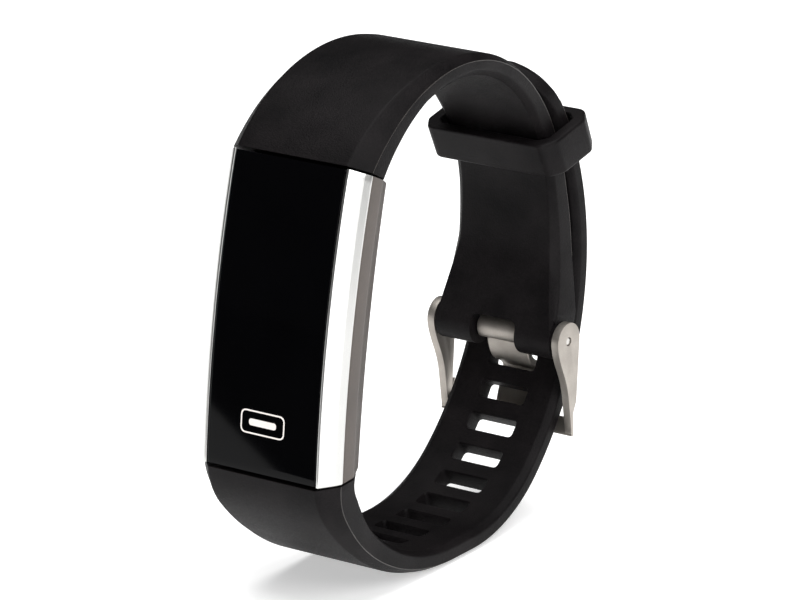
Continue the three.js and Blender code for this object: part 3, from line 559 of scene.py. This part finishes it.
run_tree(lower_strap, slot_row_tree(), Line=line_piece, Core=core, Count=SLOT_COUNT, First=FIRST_SLOT * MM,
         Pitch=SLOT_PITCH * MM, Material=strap_tpu)
bpy.data.objects.remove(core)
bpy.data.objects.remove(line_piece)
shade(lower_strap, strap_tpu)
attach(lower_strap, "band")
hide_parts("lower_strap")
lower_parting = parting_line("lower_parting_line", lower_line, -1, lower_stations,
                             strap_stops(SEAM, length - TIP, RING_STEP))
shade(lower_parting, polished_tpu_painted_highlight)
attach(lower_parting, "band")


# ---------------------------------------------------------------- keeper loop
# A separate ring moulded in the same compound. It slides on the upper strap and holds the tail down, and its
# outer edges are chamfered all round.
KEEPER_TURN, KEEPER_SLANT, KEEPER_HEIGHT, KEEPER_WALL, KEEPER_HALF = 21.3, 1.1, 4.9, 1.5, 9.5
KEEPER_CLEARANCE, KEEPER_INSIDE, TAIL_LIFT, CHAMFER_OUT, CHAMFER_IN = 0.35, 2.7, 0.3, 1.2, 0.9
inner_half = KEEPER_HALF - KEEPER_WALL
inner_face = ARCH_RADIUS - KEEPER_INSIDE - KEEPER_CLEARANCE
outer_face = TAIL_RADIUS + STRAP_CROWN + TAIL_LIFT + KEEPER_CLEARANCE


def keeper_ring(grow, shift):
    """One loop round strap and tail. grow is how far into the wall it lies, shift how far along the strap."""
    corners = [(inner_half - CHAMFER_OUT + grow * 0.8, outer_face + grow),
               (inner_half + grow, outer_face - CHAMFER_OUT + grow * 0.2),
               (inner_half + grow, inner_face + CHAMFER_IN - grow * 0.3),
               (inner_half - CHAMFER_IN + grow * 0.8, inner_face - grow)]
    corners += [(-x, out) for x, out in reversed(corners)]
    ring = []
    for x, out in fillet(corners, [0.6 + 0.5 * grow] * 8, 5):
        slide = KEEPER_SLANT * (outer_face - out) / (outer_face - inner_face) + shift
        turn = radians(KEEPER_TURN) + slide / out
        ring.append((x, arch_centre.y + out * cos(turn), arch_centre.z + out * sin(turn)))
    return ring


end_shift = KEEPER_HEIGHT / 2
wall_section = fillet([(0, -end_shift), (KEEPER_WALL, -end_shift), (KEEPER_WALL, end_shift), (0, end_shift)],
                      [0.18, 0.42, 0.42, 0.18], 5)
keeper = loft("keeper_moulding", [keeper_ring(grow, shift) for grow, shift in wall_section], closed=True)
shade(keeper, strap_tpu)
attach(keeper, "keeper")
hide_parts("keeper_loop")


# ---------------------------------------------------------------- buckle frame
# Investment-cast stainless steel, bead blasted all over. Two arms hang from the pivot and a crossbar joins
# them below. The edges are tumbled round.
def soften(piece, width, segments, angle):
    """Rounds the edges sharper than angle, width in millimetres."""
    step = piece.modifiers.new("soften", "BEVEL")
    step.width = width * MM
    step.segments = segments
    step.limit_method = "ANGLE"
    step.angle_limit = radians(angle)
    step.use_clamp_overlap = True
    apply_modifiers(piece)


# Blasting leaves a soft even glow with no sharp reflection.
blasted_steel = surface("stainless_steel_bead_blasted", "#a39d96", "#c0bab3", 3, 0.12, 0.014, (0.44, 0.58),
                        Metallic=1.0)
BUCKLE_HALF, ARM_THICKNESS, ARM_HEAD, ARM_REACH = 9.75, 1.0, 2.35, 12.6
CROSSBAR_AT, CROSSBAR_HEIGHT, PIN_HOLE, CORNER_RADIUS, CORNER_END = 57.9, 2.2, 0.55, 1.6, 0.15
crossbar_face = pivot.y + ARM_HEAD - 0.3
foot_y, foot_z = pivot.y + 1.6, pivot.z - ARM_REACH
sweep = [radians(189) * i / 30 for i in range(31)]
arm_outline = [(pivot.y + ARM_HEAD * cos(turn), pivot.z + ARM_HEAD * sin(turn)) for turn in sweep]
shank = interpolate_bezier(Vector((0, *arm_outline[-1])), Vector((0, pivot.y - 2, pivot.z - 2.8)),
                           Vector((0, pivot.y - 0.3, pivot.z - 4.6)), Vector((0, pivot.y, pivot.z - 7.7)), 14)
arm_outline += [(point.y, point.z) for point in shank[1:]]
arm_outline += fillet([(foot_y - 1.2, foot_z + 0.6), (foot_y - 0.5, foot_z), (foot_y + 0.3, foot_z + 0.5),
                       (pivot.y + ARM_HEAD, pivot.z - 7.6)], [0.4, 0.5, 0.6, 2.5])
low = lower_line.off(CROSSBAR_AT, STRAP_CROWN + STRAP_GAP, -1)
high = lower_line.off(CROSSBAR_AT + CROSSBAR_HEIGHT, STRAP_CROWN + STRAP_GAP, -1)
crossbar_outline = fillet([low, (low[0] + 0.9, low[1] - 0.1), (crossbar_face - 0.1, low[1] + 0.6),
                           (crossbar_face, high[1]), high], [0.15, 0.3, 0.6, 0.4, 0.15])
buckle = slab("buckle_casting", arm_outline, BUCKLE_HALF - ARM_THICKNESS, BUCKLE_HALF)
combine(buckle, slab("arm_left", arm_outline, -BUCKLE_HALF, ARM_THICKNESS - BUCKLE_HALF), "UNION")
combine(buckle, slab("crossbar", crossbar_outline, -BUCKLE_HALF, BUCKLE_HALF), "UNION")
combine(buckle, bar("pin_hole", PIN_HOLE, -BUCKLE_HALF - 1, BUCKLE_HALF + 1, pivot.y, pivot.z, 24),
        "DIFFERENCE")
# The crossbar's outer corners are well rounded, running out upwards along the arms.
for hand in (1, -1):
    rings = []
    for z, radius in ((foot_z - 1, CORNER_RADIUS), (pivot.z - 9.6, CORNER_RADIUS),
                      (pivot.z - 7.4, CORNER_END)):
        inner_x, inner_y = BUCKLE_HALF - radius, crossbar_face + 0.02 - radius
        arc = [(inner_x + radius * cos(turn), inner_y + radius * sin(turn))
               for turn in (radians(90 * i / 8) for i in range(9))]
        corner = [(BUCKLE_HALF + 0.5, inner_y), *arc, (inner_x, crossbar_face + 0.5),
                  (BUCKLE_HALF + 0.5, crossbar_face + 0.5)]
        rings.append([(hand * x, y, z) for x, y in corner])
    combine(buckle, loft("corner", rings), "DIFFERENCE")
soften(buckle, 0.2, 3, 50)
shade(buckle, blasted_steel, 30)
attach(buckle, "buckle")
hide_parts("buckle_frame")


# ---------------------------------------------------------------- buckle tongue
# The same steel: a rolled barrel on the spring bar and a flat pressed tongue that leaves through a slot and
# ends on the crossbar.
TONGUE_HALF, TONGUE_THICK, TONGUE_END, BARREL_RADIUS = 2.95, 0.9, 1.1, 1.5
in_mouth = lower_line.off(TONGUE_SLOT_AT + 0.2, -TAIL_DEPTH, -1)
out_mouth = lower_line.off(TONGUE_SLOT_AT - 0.2, STRAP_CROWN, -1)
plate_y = crossbar_face + SEAM + TONGUE_THICK / 2
bends = [Vector(point) for point in (
    (0, pivot.y + 0.9, pivot.z - 0.6), (0, pivot.y + 1.4, pivot.z - 2.9), (0, *in_mouth), (0, *out_mouth),
    (0, out_mouth[0] + 0.3, out_mouth[1] - 1.3), (0, plate_y + 0.9, out_mouth[1] - 3),
    (0, plate_y + 0.3, out_mouth[1] - 4.6), (0, plate_y, out_mouth[1] - 6))]


def way_at(points, i):
    """The way that a run of points heads at point i."""
    return (points[min(i + 1, len(points) - 1)] - points[max(i - 1, 0)]).normalized()


def smooth_run(points, steps=8):
    """A smooth run through the points, each handle as long as a third of its own span."""
    ways = [way_at(points, i) for i in range(len(points))]
    out = [points[0]]
    for i in range(len(points) - 1):
        span = (points[i + 1] - points[i]).length / 3
        out += interpolate_bezier(points[i], points[i] + ways[i] * span, points[i + 1] - ways[i + 1] * span,
                                  points[i + 1], steps + 1)[1:]
    return out


middle_line = smooth_run(bends)
rings = []
for i, point in enumerate(middle_line):
    way = way_at(middle_line, i)
    left_to_go = (middle_line[-1] - point).length
    half = TONGUE_HALF - TONGUE_END * (1 - min(1, left_to_go / TONGUE_END)) ** 2
    thin = TONGUE_THICK / 2
    section = fillet([(-half, thin), (-half, -thin), (half, -thin), (half, thin)], [0.26] * 4, 4)
    rings.append([(x, point.y - t * way.z, point.z + t * way.y) for x, t in section])
tongue = loft("tongue_plate", rings)
barrel = bar("barrel", BARREL_RADIUS, -TONGUE_HALF, TONGUE_HALF, pivot.y, pivot.z, 48)
soften(barrel, 0.16, 3, 60)
combine(tongue, barrel, "UNION")
combine(tongue, bar("bore", BAR_BORE, -TONGUE_HALF - 1, TONGUE_HALF + 1, pivot.y, pivot.z), "DIFFERENCE")
shade(tongue, blasted_steel, 30)
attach(tongue, "tongue")
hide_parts("buckle_tongue")


# ---------------------------------------------------------------- spring bars
# Three turned stainless bars: a tube, a crimped tip, a sprung tip and the coil between them. The shapes come
# with the model and the fine turning marks run round each bar.
def turned_steel():
    """Bright turned steel: tool marks round each bar draw its highlights into thin bands."""
    marks_apart = 0.06
    material, tree = new_material("stainless_steel_turned")
    place = node(tree, "ShaderNodeTexCoord").outputs["Object"]
    marks = node(tree, "ShaderNodeTexWave", {"Vector": place, "Scale": 1 / (20 * marks_apart * MM),
                                             "Distortion": 0.6, "Detail": 2.0}, bands_direction="X")
    drift = node(tree, "ShaderNodeTexNoise", {"Vector": place, "Scale": 1 / (1.5 * MM), "Detail": 2.0})
    colour = node(tree, "ShaderNodeMix", {0: drift.outputs["Fac"], 6: linear("#b9b7b3"),
                                          7: linear("#d8d6d2")}, data_type="RGBA")
    dullness = node(tree, "ShaderNodeMapRange", {"Value": marks.outputs["Fac"], "To Min": 0.18,
                                                 "To Max": 0.3})
    relief = node(tree, "ShaderNodeBump", {"Height": marks.outputs["Fac"], "Strength": 0.5,
                                           "Distance": 0.004 * MM})
    shader = node(tree, "ShaderNodeBsdfPrincipled", {
        "Base Color": colour.outputs[2], "Roughness": dullness.outputs["Result"],
        "Normal": relief.outputs["Normal"], "Metallic": 1.0})
    finish_material(tree, shader)
    return material


def finish_nodes(material, *names):
    """Puts a material on parts that keep the model's own shape."""
    for name in names:
        data = frame["nodes"][name].data
        if not data.materials:
            data.materials.append(material)
        for i in range(len(data.materials)):
            data.materials[i] = material


bright_steel = turned_steel()
finish_nodes(bright_steel, *[f"{place}_bar_{piece}" for place in ("upper", "lower", "buckle")
                             for piece in ("tube", "fixed_tip", "sprung_tip", "spring")])


# ---------------------------------------------------------------- module case
# A grey coated shell that holds everything in the module. It bows with the wrist, and both ends are cut at a
# slant. The lacquer is sprayed on, which gives a satin sheen with a faint orange peel.
case_grey = surface("satin_grey_lacquer", "#4a4440", "#5a524d", 7, 0.35, 0.01, (0.36, 0.48),
                    **{"IOR": 1.5, "Metallic": 0.25})
depth_way = Vector((0, cos(lean), -sin(lean)))
up_way = Vector((0, sin(lean), cos(lean)))
sagitta = MODULE_RADIUS * (1 - cos(radians(half_turn)))
rise_to_end = MODULE_RADIUS * sin(radians(half_turn))
module_middle = Vector((0, *module_top)) - depth_way * sagitta - up_way * rise_to_end


def in_module(x, depth, height):
    """Module place to model place: X, depth towards the wrist and height up the module."""
    return tuple(module_middle + Vector((x, 0, 0)) + depth_way * depth + up_way * height)


def bowed(x, depth, along):
    """A place measured along the module's bow."""
    turn = along / MODULE_RADIUS
    radius = MODULE_RADIUS - depth
    return in_module(x, MODULE_RADIUS - radius * cos(turn), radius * sin(turn))


def bowed_run(name, outline, half_length, halves=20):
    """An outline in X and depth run along the bow, with slanted ends."""
    slope = tan(radians(END_TILT))
    return loft(name, [[bowed(x, depth, share / halves * (half_length - depth * slope))
                        for x, depth in outline] for share in range(-halves, halves + 1)])


def brick(name, x0, x1, depth0, depth1, low, high):
    """A plain block in the module's own directions."""
    return loft(name, [[in_module(x, depth, height) for x, depth in
                        ((x0, depth0), (x1, depth0), (x1, depth1), (x0, depth1))] for height in (low, high)])


def rounded_plate(name, half_x, half_z, radius, *levels):
    """A rounded rectangle facing the wrist. Each level is (depth, inset)."""
    rings = []
    for depth, inset in levels:
        outline = fillet([(-half_x + inset, -half_z + inset), (half_x - inset, -half_z + inset),
                          (half_x - inset, half_z - inset), (-half_x + inset, half_z - inset)],
                         [max(radius - inset, 0.05)] * 4, 8)
        rings.append([in_module(x, depth, height) for x, height in outline])
    return loft(name, rings)


HALF_WIDTH, CASE_BACK, CASE_BACK_HALF, WALL, RAIL_SEAT = 10.0, 5.9, 7.9, 2.4, -0.1
CAVITY_HALF, CAVITY_LONG, LEDGE_TOP, LEDGE_BOTTOM = 7.0, 14.2, 4.45, 5.0
COVER_HALF, COVER_LONG, FIT = 6.0, 13.0, 0.15
case = bowed_run("case_shell", fillet(
    [(-CASE_BACK_HALF, CASE_BACK + 0.6), (CASE_BACK_HALF, CASE_BACK + 0.6), (HALF_WIDTH, WALL),
     (HALF_WIDTH, 0.45), (HALF_WIDTH - 1, RAIL_SEAT), (1 - HALF_WIDTH, RAIL_SEAT), (-HALF_WIDTH, 0.45),
     (-HALF_WIDTH, WALL)], [0.1, 0.1, 1.2, 0.12, 0.05, 0.05, 0.12, 1.2]), MODULE_HALF)
combine(case, brick("flat_back", -12, 12, CASE_BACK, CASE_BACK + 4, -30, 30), "DIFFERENCE")
combine(case, brick("room", -CAVITY_HALF, CAVITY_HALF, -3, LEDGE_TOP, -CAVITY_LONG, CAVITY_LONG),
        "DIFFERENCE")
combine(case, rounded_plate("ledge", COVER_HALF - 0.8, COVER_LONG - 0.8, 1.5, (LEDGE_TOP - 1, 0),
                            (CASE_BACK + 1, 0)), "DIFFERENCE")
combine(case, rounded_plate("seat", COVER_HALF + FIT, COVER_LONG + FIT, 2, (LEDGE_BOTTOM, 0),
                            (CASE_BACK - 0.2, 0), (CASE_BACK + 0.2, -0.4)), "DIFFERENCE")
STUB_HALF, STUB_REACH, STUB_TOP, STUB_DEPTH = 5.7, 3.0, 0.9, 2.4
for end in (1, -1):
    near, far = end * (MODULE_HALF - STUB_REACH - SEAM), end * (MODULE_HALF + 3)
    combine(case, brick("pocket", -STUB_HALF - SEAM, STUB_HALF + SEAM, STUB_TOP - SEAM,
                        STUB_TOP + STUB_DEPTH + SEAM, min(near, far), max(near, far)), "DIFFERENCE")
shade(case, case_grey, 30)
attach(case, "band")
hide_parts("case_body")


# ---------------------------------------------------------------- strap roots
# The stub that plugs each strap into the module's end. It is moulded with the strap in the same compound, and
# bored for the spring bar that holds it in the case.
for end, name in ((1, "upper_strap_root"), (-1, "lower_strap_root")):
    near, far = end * (MODULE_HALF - STUB_REACH), end * (MODULE_HALF + 0.9)
    root = brick(name, -STUB_HALF, STUB_HALF, STUB_TOP, STUB_TOP + STUB_DEPTH, min(near, far), max(near, far))
    bar_place = in_module(0, STUB_TOP + STUB_DEPTH / 2, end * (MODULE_HALF - STUB_REACH + 1.35))
    combine(root, bar("root_bore", BAR_BORE, -STUB_HALF - 1, STUB_HALF + 1, bar_place[1], bar_place[2]),
            "DIFFERENCE")
    shade(root, strap_tpu)
    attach(root, "band")


# ---------------------------------------------------------------- side rails
# Two drawn aluminium strips beside the glass, satin anodised in natural silver, with a second narrow bevel
# along the outer edge.
# Satin anodising stays bright over the whole face, with a soft edge to every highlight.
anodised = surface("aluminium_satin_anodised", "#c6c6c4", "#d4d4d2", 9, 0.1, 0.006, (0.28, 0.38),
                   Metallic=1.0)
CROWN = 2.2
for side, name in ((1, "rail_right"), (-1, "rail_left")):
    outline = fillet([(side * x, depth) for x, depth in (
        (HALF_WIDTH - 2.05, RAIL_SEAT - FIT), (HALF_WIDTH - 1.1, RAIL_SEAT - FIT), (HALF_WIDTH, 0.28),
        (HALF_WIDTH, 0), (HALF_WIDTH - 0.45, -0.7), (HALF_WIDTH - 1.75, -CROWN),
        (HALF_WIDTH - 2.05, -CROWN))], [0.05, 0.1, 0.08, 0.1, 0.18, 0.14, 0.06], 3)
    rail = bowed_run(name + "_strip", outline, MODULE_HALF)
    soften(rail, 0.07, 2, 50)
    shade(rail, anodised, 25)
    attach(rail, "band")
    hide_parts(name)


# ---------------------------------------------------------------- front glass
# One bowed cover glass with ground edges and an anti-reflection coat, printed solid black behind so that
# the panel only shows when lit.
def printed_glass():
    """Clear glass over black print: a mirror-like face with the faintest smears in its polish."""
    material, tree = new_material("glass_black_printed")
    place = node(tree, "ShaderNodeTexCoord").outputs["Object"]
    smear = node(tree, "ShaderNodeTexNoise", {"Vector": place, "Scale": 1 / (9 * MM), "Detail": 4.0})
    colour = node(tree, "ShaderNodeMix", {0: smear.outputs["Fac"], 6: linear("#020203"),
                                          7: linear("#050506")}, data_type="RGBA")
    dullness = node(tree, "ShaderNodeMapRange", {"Value": smear.outputs["Fac"], "To Min": 0.03,
                                                 "To Max": 0.1})
    wave = node(tree, "ShaderNodeBump", {"Height": smear.outputs["Fac"], "Strength": 0.15,
                                         "Distance": 0.01 * MM})
    shader = node(tree, "ShaderNodeBsdfPrincipled", {
        "Base Color": colour.outputs[2], "Roughness": dullness.outputs["Result"],
        "Normal": wave.outputs["Normal"], "IOR": 1.5, "Specular IOR Level": 0.09})
    finish_material(tree, shader)
    return material


black_glass = printed_glass()
LENS_HALF, LENS_THICK = 7.8, 0.9
lens = bowed_run("cover_glass", fillet(
    [(-LENS_HALF, LENS_THICK - CROWN), (LENS_HALF, LENS_THICK - CROWN), (LENS_HALF, -CROWN + 0.05),
     (LENS_HALF - 0.15, -CROWN), (0.15 - LENS_HALF, -CROWN), (-LENS_HALF, -CROWN + 0.05)],
    [0.05, 0.05, 0.08, 0.3, 0.3, 0.08]), MODULE_HALF - 0.1)
soften(lens, 0.08, 2, 50)
shade(lens, black_glass, 30)
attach(lens, "band")
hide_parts("front_lens")


# ---------------------------------------------------------------- touch key mark
# A plain rounded frame with a bar in it, screen printed in warm white ink low on the glass. The ink stands
# hardly proud of it, and carries a faint painted glow, as if lit from behind.
key_ink_painted_glow = surface("screen_print_warm_white_painted_glow", "#cdc6c1", "#dcd6d2", 1.5, 0.1, 0.002, (0.4, 0.55),
                  **{"IOR": 1.5, "Emission Color": linear("#d9d3cf"), "Emission Strength": 0.35})
KEY_AT, INK = -12.35, 0.02


def key_outline(half_x, half_y, radius):
    """A rounded rectangle in X and along the glass."""
    return fillet([(-half_x, -half_y), (half_x, -half_y), (half_x, half_y), (-half_x, half_y)],
                  [radius] * 4, 8)


def key_level(outline, depth):
    """The outline laid on the glass at one depth from its face."""
    return [bowed(x, -CROWN + depth, KEY_AT + along) for x, along in outline]


outer, inner = key_outline(3.15, 1.4, 0.8), key_outline(2.97, 1.22, 0.62)
key_frame = loft("key_frame", [key_level(outer, -INK), key_level(inner, -INK), key_level(inner, 0.1),
                               key_level(outer, 0.1)], closed=True)
pill = key_outline(1.95, 0.4, 0.39)
key_bar = loft("key_bar", [key_level(pill, -INK), key_level(pill, 0.1)])
for mark in (key_frame, key_bar):
    shade(mark, key_ink_painted_glow)
    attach(mark, "band")


# ---------------------------------------------------------------- back cover
# The plate that closes the module towards the wrist. It is moulded in glass-filled nylon, let into the shell
# with a narrow gap and held by a screw at each corner.
COVER_TOP, COVER_BACK, WINDOW_HALF, WINDOW_LONG = LEDGE_BOTTOM + 0.35, 6.5, 3.4, 3.9
SCREWS = [(x * (COVER_HALF - 1.5), z * (COVER_LONG - 1.5)) for x in (1, -1) for z in (1, -1)]
CONTACTS = [(-2.0, -8.0), (2.0, -8.0)]
# The mould texture leaves it dull black, a shade greyer than the glass.
nylon = surface("nylon_glass_filled_black", "#0f0e0f", "#1a191a", 3, 0.15, 0.02, (0.45, 0.62), IOR=1.5)
cover = rounded_plate("cover_plate", COVER_HALF, COVER_LONG, 2, (COVER_TOP, 0), (COVER_BACK - 0.3, 0),
                      (COVER_BACK - 0.12, 0.05), (COVER_BACK - 0.03, 0.14), (COVER_BACK, 0.3))


def lathe(name, profile, x, height, sides=40):
    """Turns a profile of (radius, depth) pairs round an axis square to the cover."""
    return loft(name, [[in_module(x + radius * cos(2 * pi * i / sides), depth,
                                  height + radius * sin(2 * pi * i / sides)) for i in range(sides)]
                       for radius, depth in profile])


combine(cover, rounded_plate("window_hole", WINDOW_HALF + FIT, WINDOW_LONG + FIT, 2, (COVER_TOP - 1, 0),
                             (COVER_BACK - 0.15, 0), (COVER_BACK + 0.3, -0.45)), "DIFFERENCE")
for x, height in SCREWS:
    combine(cover, lathe("screw_hole", [(0.9, COVER_TOP - 1), (0.9, COVER_BACK - 0.12),
                                        (1.3, COVER_BACK + 0.3)], x, height), "DIFFERENCE")
for x, height in CONTACTS:
    combine(cover, lathe("contact_hole", [(1.1, COVER_TOP - 1), (1.1, COVER_BACK - 0.1),
                                          (1.4, COVER_BACK + 0.2)], x, height), "DIFFERENCE")
shade(cover, nylon)
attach(cover, "band")
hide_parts("back_cover")


# ---------------------------------------------------------------- cover screws
# Four small pan-head screws of turned stainless steel with a cross recess. The same one is driven in at each
# corner of the cover.
screw = lathe("cross_head_screw", [(0.6, LEDGE_BOTTOM + 0.45), (0.75, LEDGE_BOTTOM + 0.6),
                                   (0.75, COVER_BACK - 0.3), (0.7, COVER_BACK - 0.2),
                                   (0.55, COVER_BACK - 0.15)], 0, 0)
for x, z in ((0.42, 0.1), (0.1, 0.42)):
    combine(screw, brick("recess", -x, x, COVER_BACK - 0.45, COVER_BACK, -z, z), "DIFFERENCE")


def screw_row_tree():
    """Geometry nodes: one screw on each of the corner points."""
    tree = bpy.data.node_groups.new("screw_set", "GeometryNodeTree")
    tree.interface.new_socket("Corners", in_out="INPUT", socket_type="NodeSocketGeometry")
    for label, kind in (("Screw", "NodeSocketObject"), ("Material", "NodeSocketMaterial")):
        tree.interface.new_socket(label, in_out="INPUT", socket_type=kind)
    tree.interface.new_socket("Screws", in_out="OUTPUT", socket_type="NodeSocketGeometry")
    given = node(tree, "NodeGroupInput").outputs
    info = node(tree, "GeometryNodeObjectInfo", {"Object": given["Screw"]})
    placed = node(tree, "GeometryNodeInstanceOnPoints", {"Points": given["Corners"],
                                                         "Instance": info.outputs["Geometry"]})
    real = node(tree, "GeometryNodeRealizeInstances", {"Geometry": placed.outputs["Instances"]})
    skinned = node(tree, "GeometryNodeSetMaterial", {"Geometry": real.outputs["Geometry"],
                                                     "Material": given["Material"]})
    node(tree, "NodeGroupOutput", {"Screws": skinned.outputs["Geometry"]})
    return tree


corner_mesh = bpy.data.meshes.new("screw_corners")
corner_mesh.from_pydata([tuple((Vector((x, 0, 0)) + up_way * height) * MM) for x, height in SCREWS], [], [])
screws = add_object("cover_screws", corner_mesh)
run_tree(screws, screw_row_tree(), Screw=screw, Material=bright_steel)
bpy.data.objects.remove(screw)
shade(screws, bright_steel, 30)
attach(screws, "band")
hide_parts("cover_screw_1", "cover_screw_2", "cover_screw_3", "cover_screw_4")


# ---------------------------------------------------------------- charge contacts
# Two turned brass studs pressed into the cover, with a rounded rim and a shallow dish for the charger's pins.
# Gold plating keeps them bright and yellow.
gold = surface("gold_plated_brass", "#d2a955", "#e6c479", 1, 0.08, 0.003, (0.2, 0.3), Metallic=1.0)
for name, (x, height) in zip(("charge_contact_left", "charge_contact_right"), CONTACTS):
    stud = lathe(name + "_stud", [(0.95, COVER_TOP), (0.95, COVER_BACK - 0.25), (0.91, COVER_BACK - 0.14),
                                  (0.8, COVER_BACK - 0.1), (0.68, COVER_BACK - 0.12),
                                  (0.45, COVER_BACK - 0.17), (0.02, COVER_BACK - 0.19)], x, height)
    shade(stud, gold, 40)
    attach(stud, "band")
    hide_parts(name)


# ---------------------------------------------------------------- sensor window
# A domed glass window glued into the cover over the pulse sensor, printed black like the front glass. It
# rises a little from the cover, so that it presses on the skin.
window_levels = [(-0.55, 0), (0.02, 0), (0.12, 0.04), (0.2, 0.14), (0.26, 0.34), (0.31, 0.8), (0.34, 1.5),
                 (0.35, 2.4)]
window = rounded_plate("sensor_dome", WINDOW_HALF, WINDOW_LONG, 2,
                       *[(COVER_BACK + proud, inset) for proud, inset in window_levels])
shade(window, black_glass, 40)
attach(window, "band")
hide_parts("sensor_window")


# ---------------------------------------------------------------- boards and chips
# Glass epoxy boards under green solder mask, etched so that the copper shows as faint raised lines. The chips
# are moulded epoxy, soldered on.
def solder_mask():
    """Green mask over copper tracks 0.4 mm apart."""
    material, tree = new_material("solder_mask_green")
    place = node(tree, "ShaderNodeTexCoord").outputs["Object"]
    tracks = node(tree, "ShaderNodeTexBrick", {"Vector": place, "Scale": 1 / (1.2 * MM), "Mortar Size": 0.06,
                                               "Mortar Smooth": 0.3, "Color1": (0, 0, 0, 1),
                                               "Color2": (0.2, 0.2, 0.2, 1), "Mortar": (1, 1, 1, 1)})
    colour = node(tree, "ShaderNodeMix", {0: tracks.outputs["Color"], 6: linear("#0c3a22"),
                                          7: linear("#1d6a3d")}, data_type="RGBA")
    speckle = node(tree, "ShaderNodeTexNoise", {"Vector": place, "Scale": 1 / (0.3 * MM), "Detail": 2.0})
    dullness = node(tree, "ShaderNodeMapRange", {"Value": speckle.outputs["Fac"], "To Min": 0.3,
                                                 "To Max": 0.45})
    relief = node(tree, "ShaderNodeBump", {"Height": tracks.outputs["Color"], "Strength": 0.5,
                                           "Distance": 0.03 * MM})
    shader = node(tree, "ShaderNodeBsdfPrincipled", {
        "Base Color": colour.outputs[2], "Roughness": dullness.outputs["Result"],
        "Normal": relief.outputs["Normal"], "IOR": 1.5})
    finish_material(tree, shader)
    return material


finish_nodes(solder_mask(), "main_board", "sensor_board")
# Moulding epoxy is a flat charcoal with a fine tooth.
finish_nodes(surface("epoxy_moulding_black", "#161617", "#242425", 1, 0.06, 0.006, (0.4, 0.55), IOR=1.55),
             "processor", "radio_chip", "motion_sensor", "charge_controller", "photodiode")
# The light emitters are cast in green-tinted epoxy, glossy beside the chips.
finish_nodes(surface("epoxy_clear_green", "#58b878", "#7fd79a", 0.6, 0.05, 0.002, (0.1, 0.2), IOR=1.5),
             "sensor_led_top", "sensor_led_bottom")


# ---------------------------------------------------------------- battery, display and motor
# A lithium cell in a heat-sealed foil pouch, an unlit display panel with its touch film taped under the
# glass, and a small motor in a steel can.

# The pouch is dull silver with soft creases, the panel near black, the film warm copper.
finish_nodes(surface("aluminium_laminate_pouch", "#9b9da2", "#b9bbc0", 2.5, 1.1, 0.05, (0.3, 0.42),
                     Metallic=0.9), "battery_cell")
finish_nodes(surface("display_glass_unlit", "#0a0a0c", "#121216", 4, 0.08, 0.001, (0.1, 0.18), IOR=1.52),
             "display_panel")
finish_nodes(surface("copper_film", "#b87a4a", "#cc9060", 3, 0.2, 0.003, (0.25, 0.35), Metallic=1.0),
             "touch_electrode")
finish_nodes(bright_steel, "vibration_motor_case", "vibration_motor_shaft", "vibration_motor_weight")
# The cover's seal is silicone rubber, squeezed flat under it: soft black without a highlight.
finish_nodes(surface("silicone_black", "#0d0d0e", "#161617", 1, 0.1, 0.01, (0.5, 0.65), IOR=1.43),
             "cover_gasket")
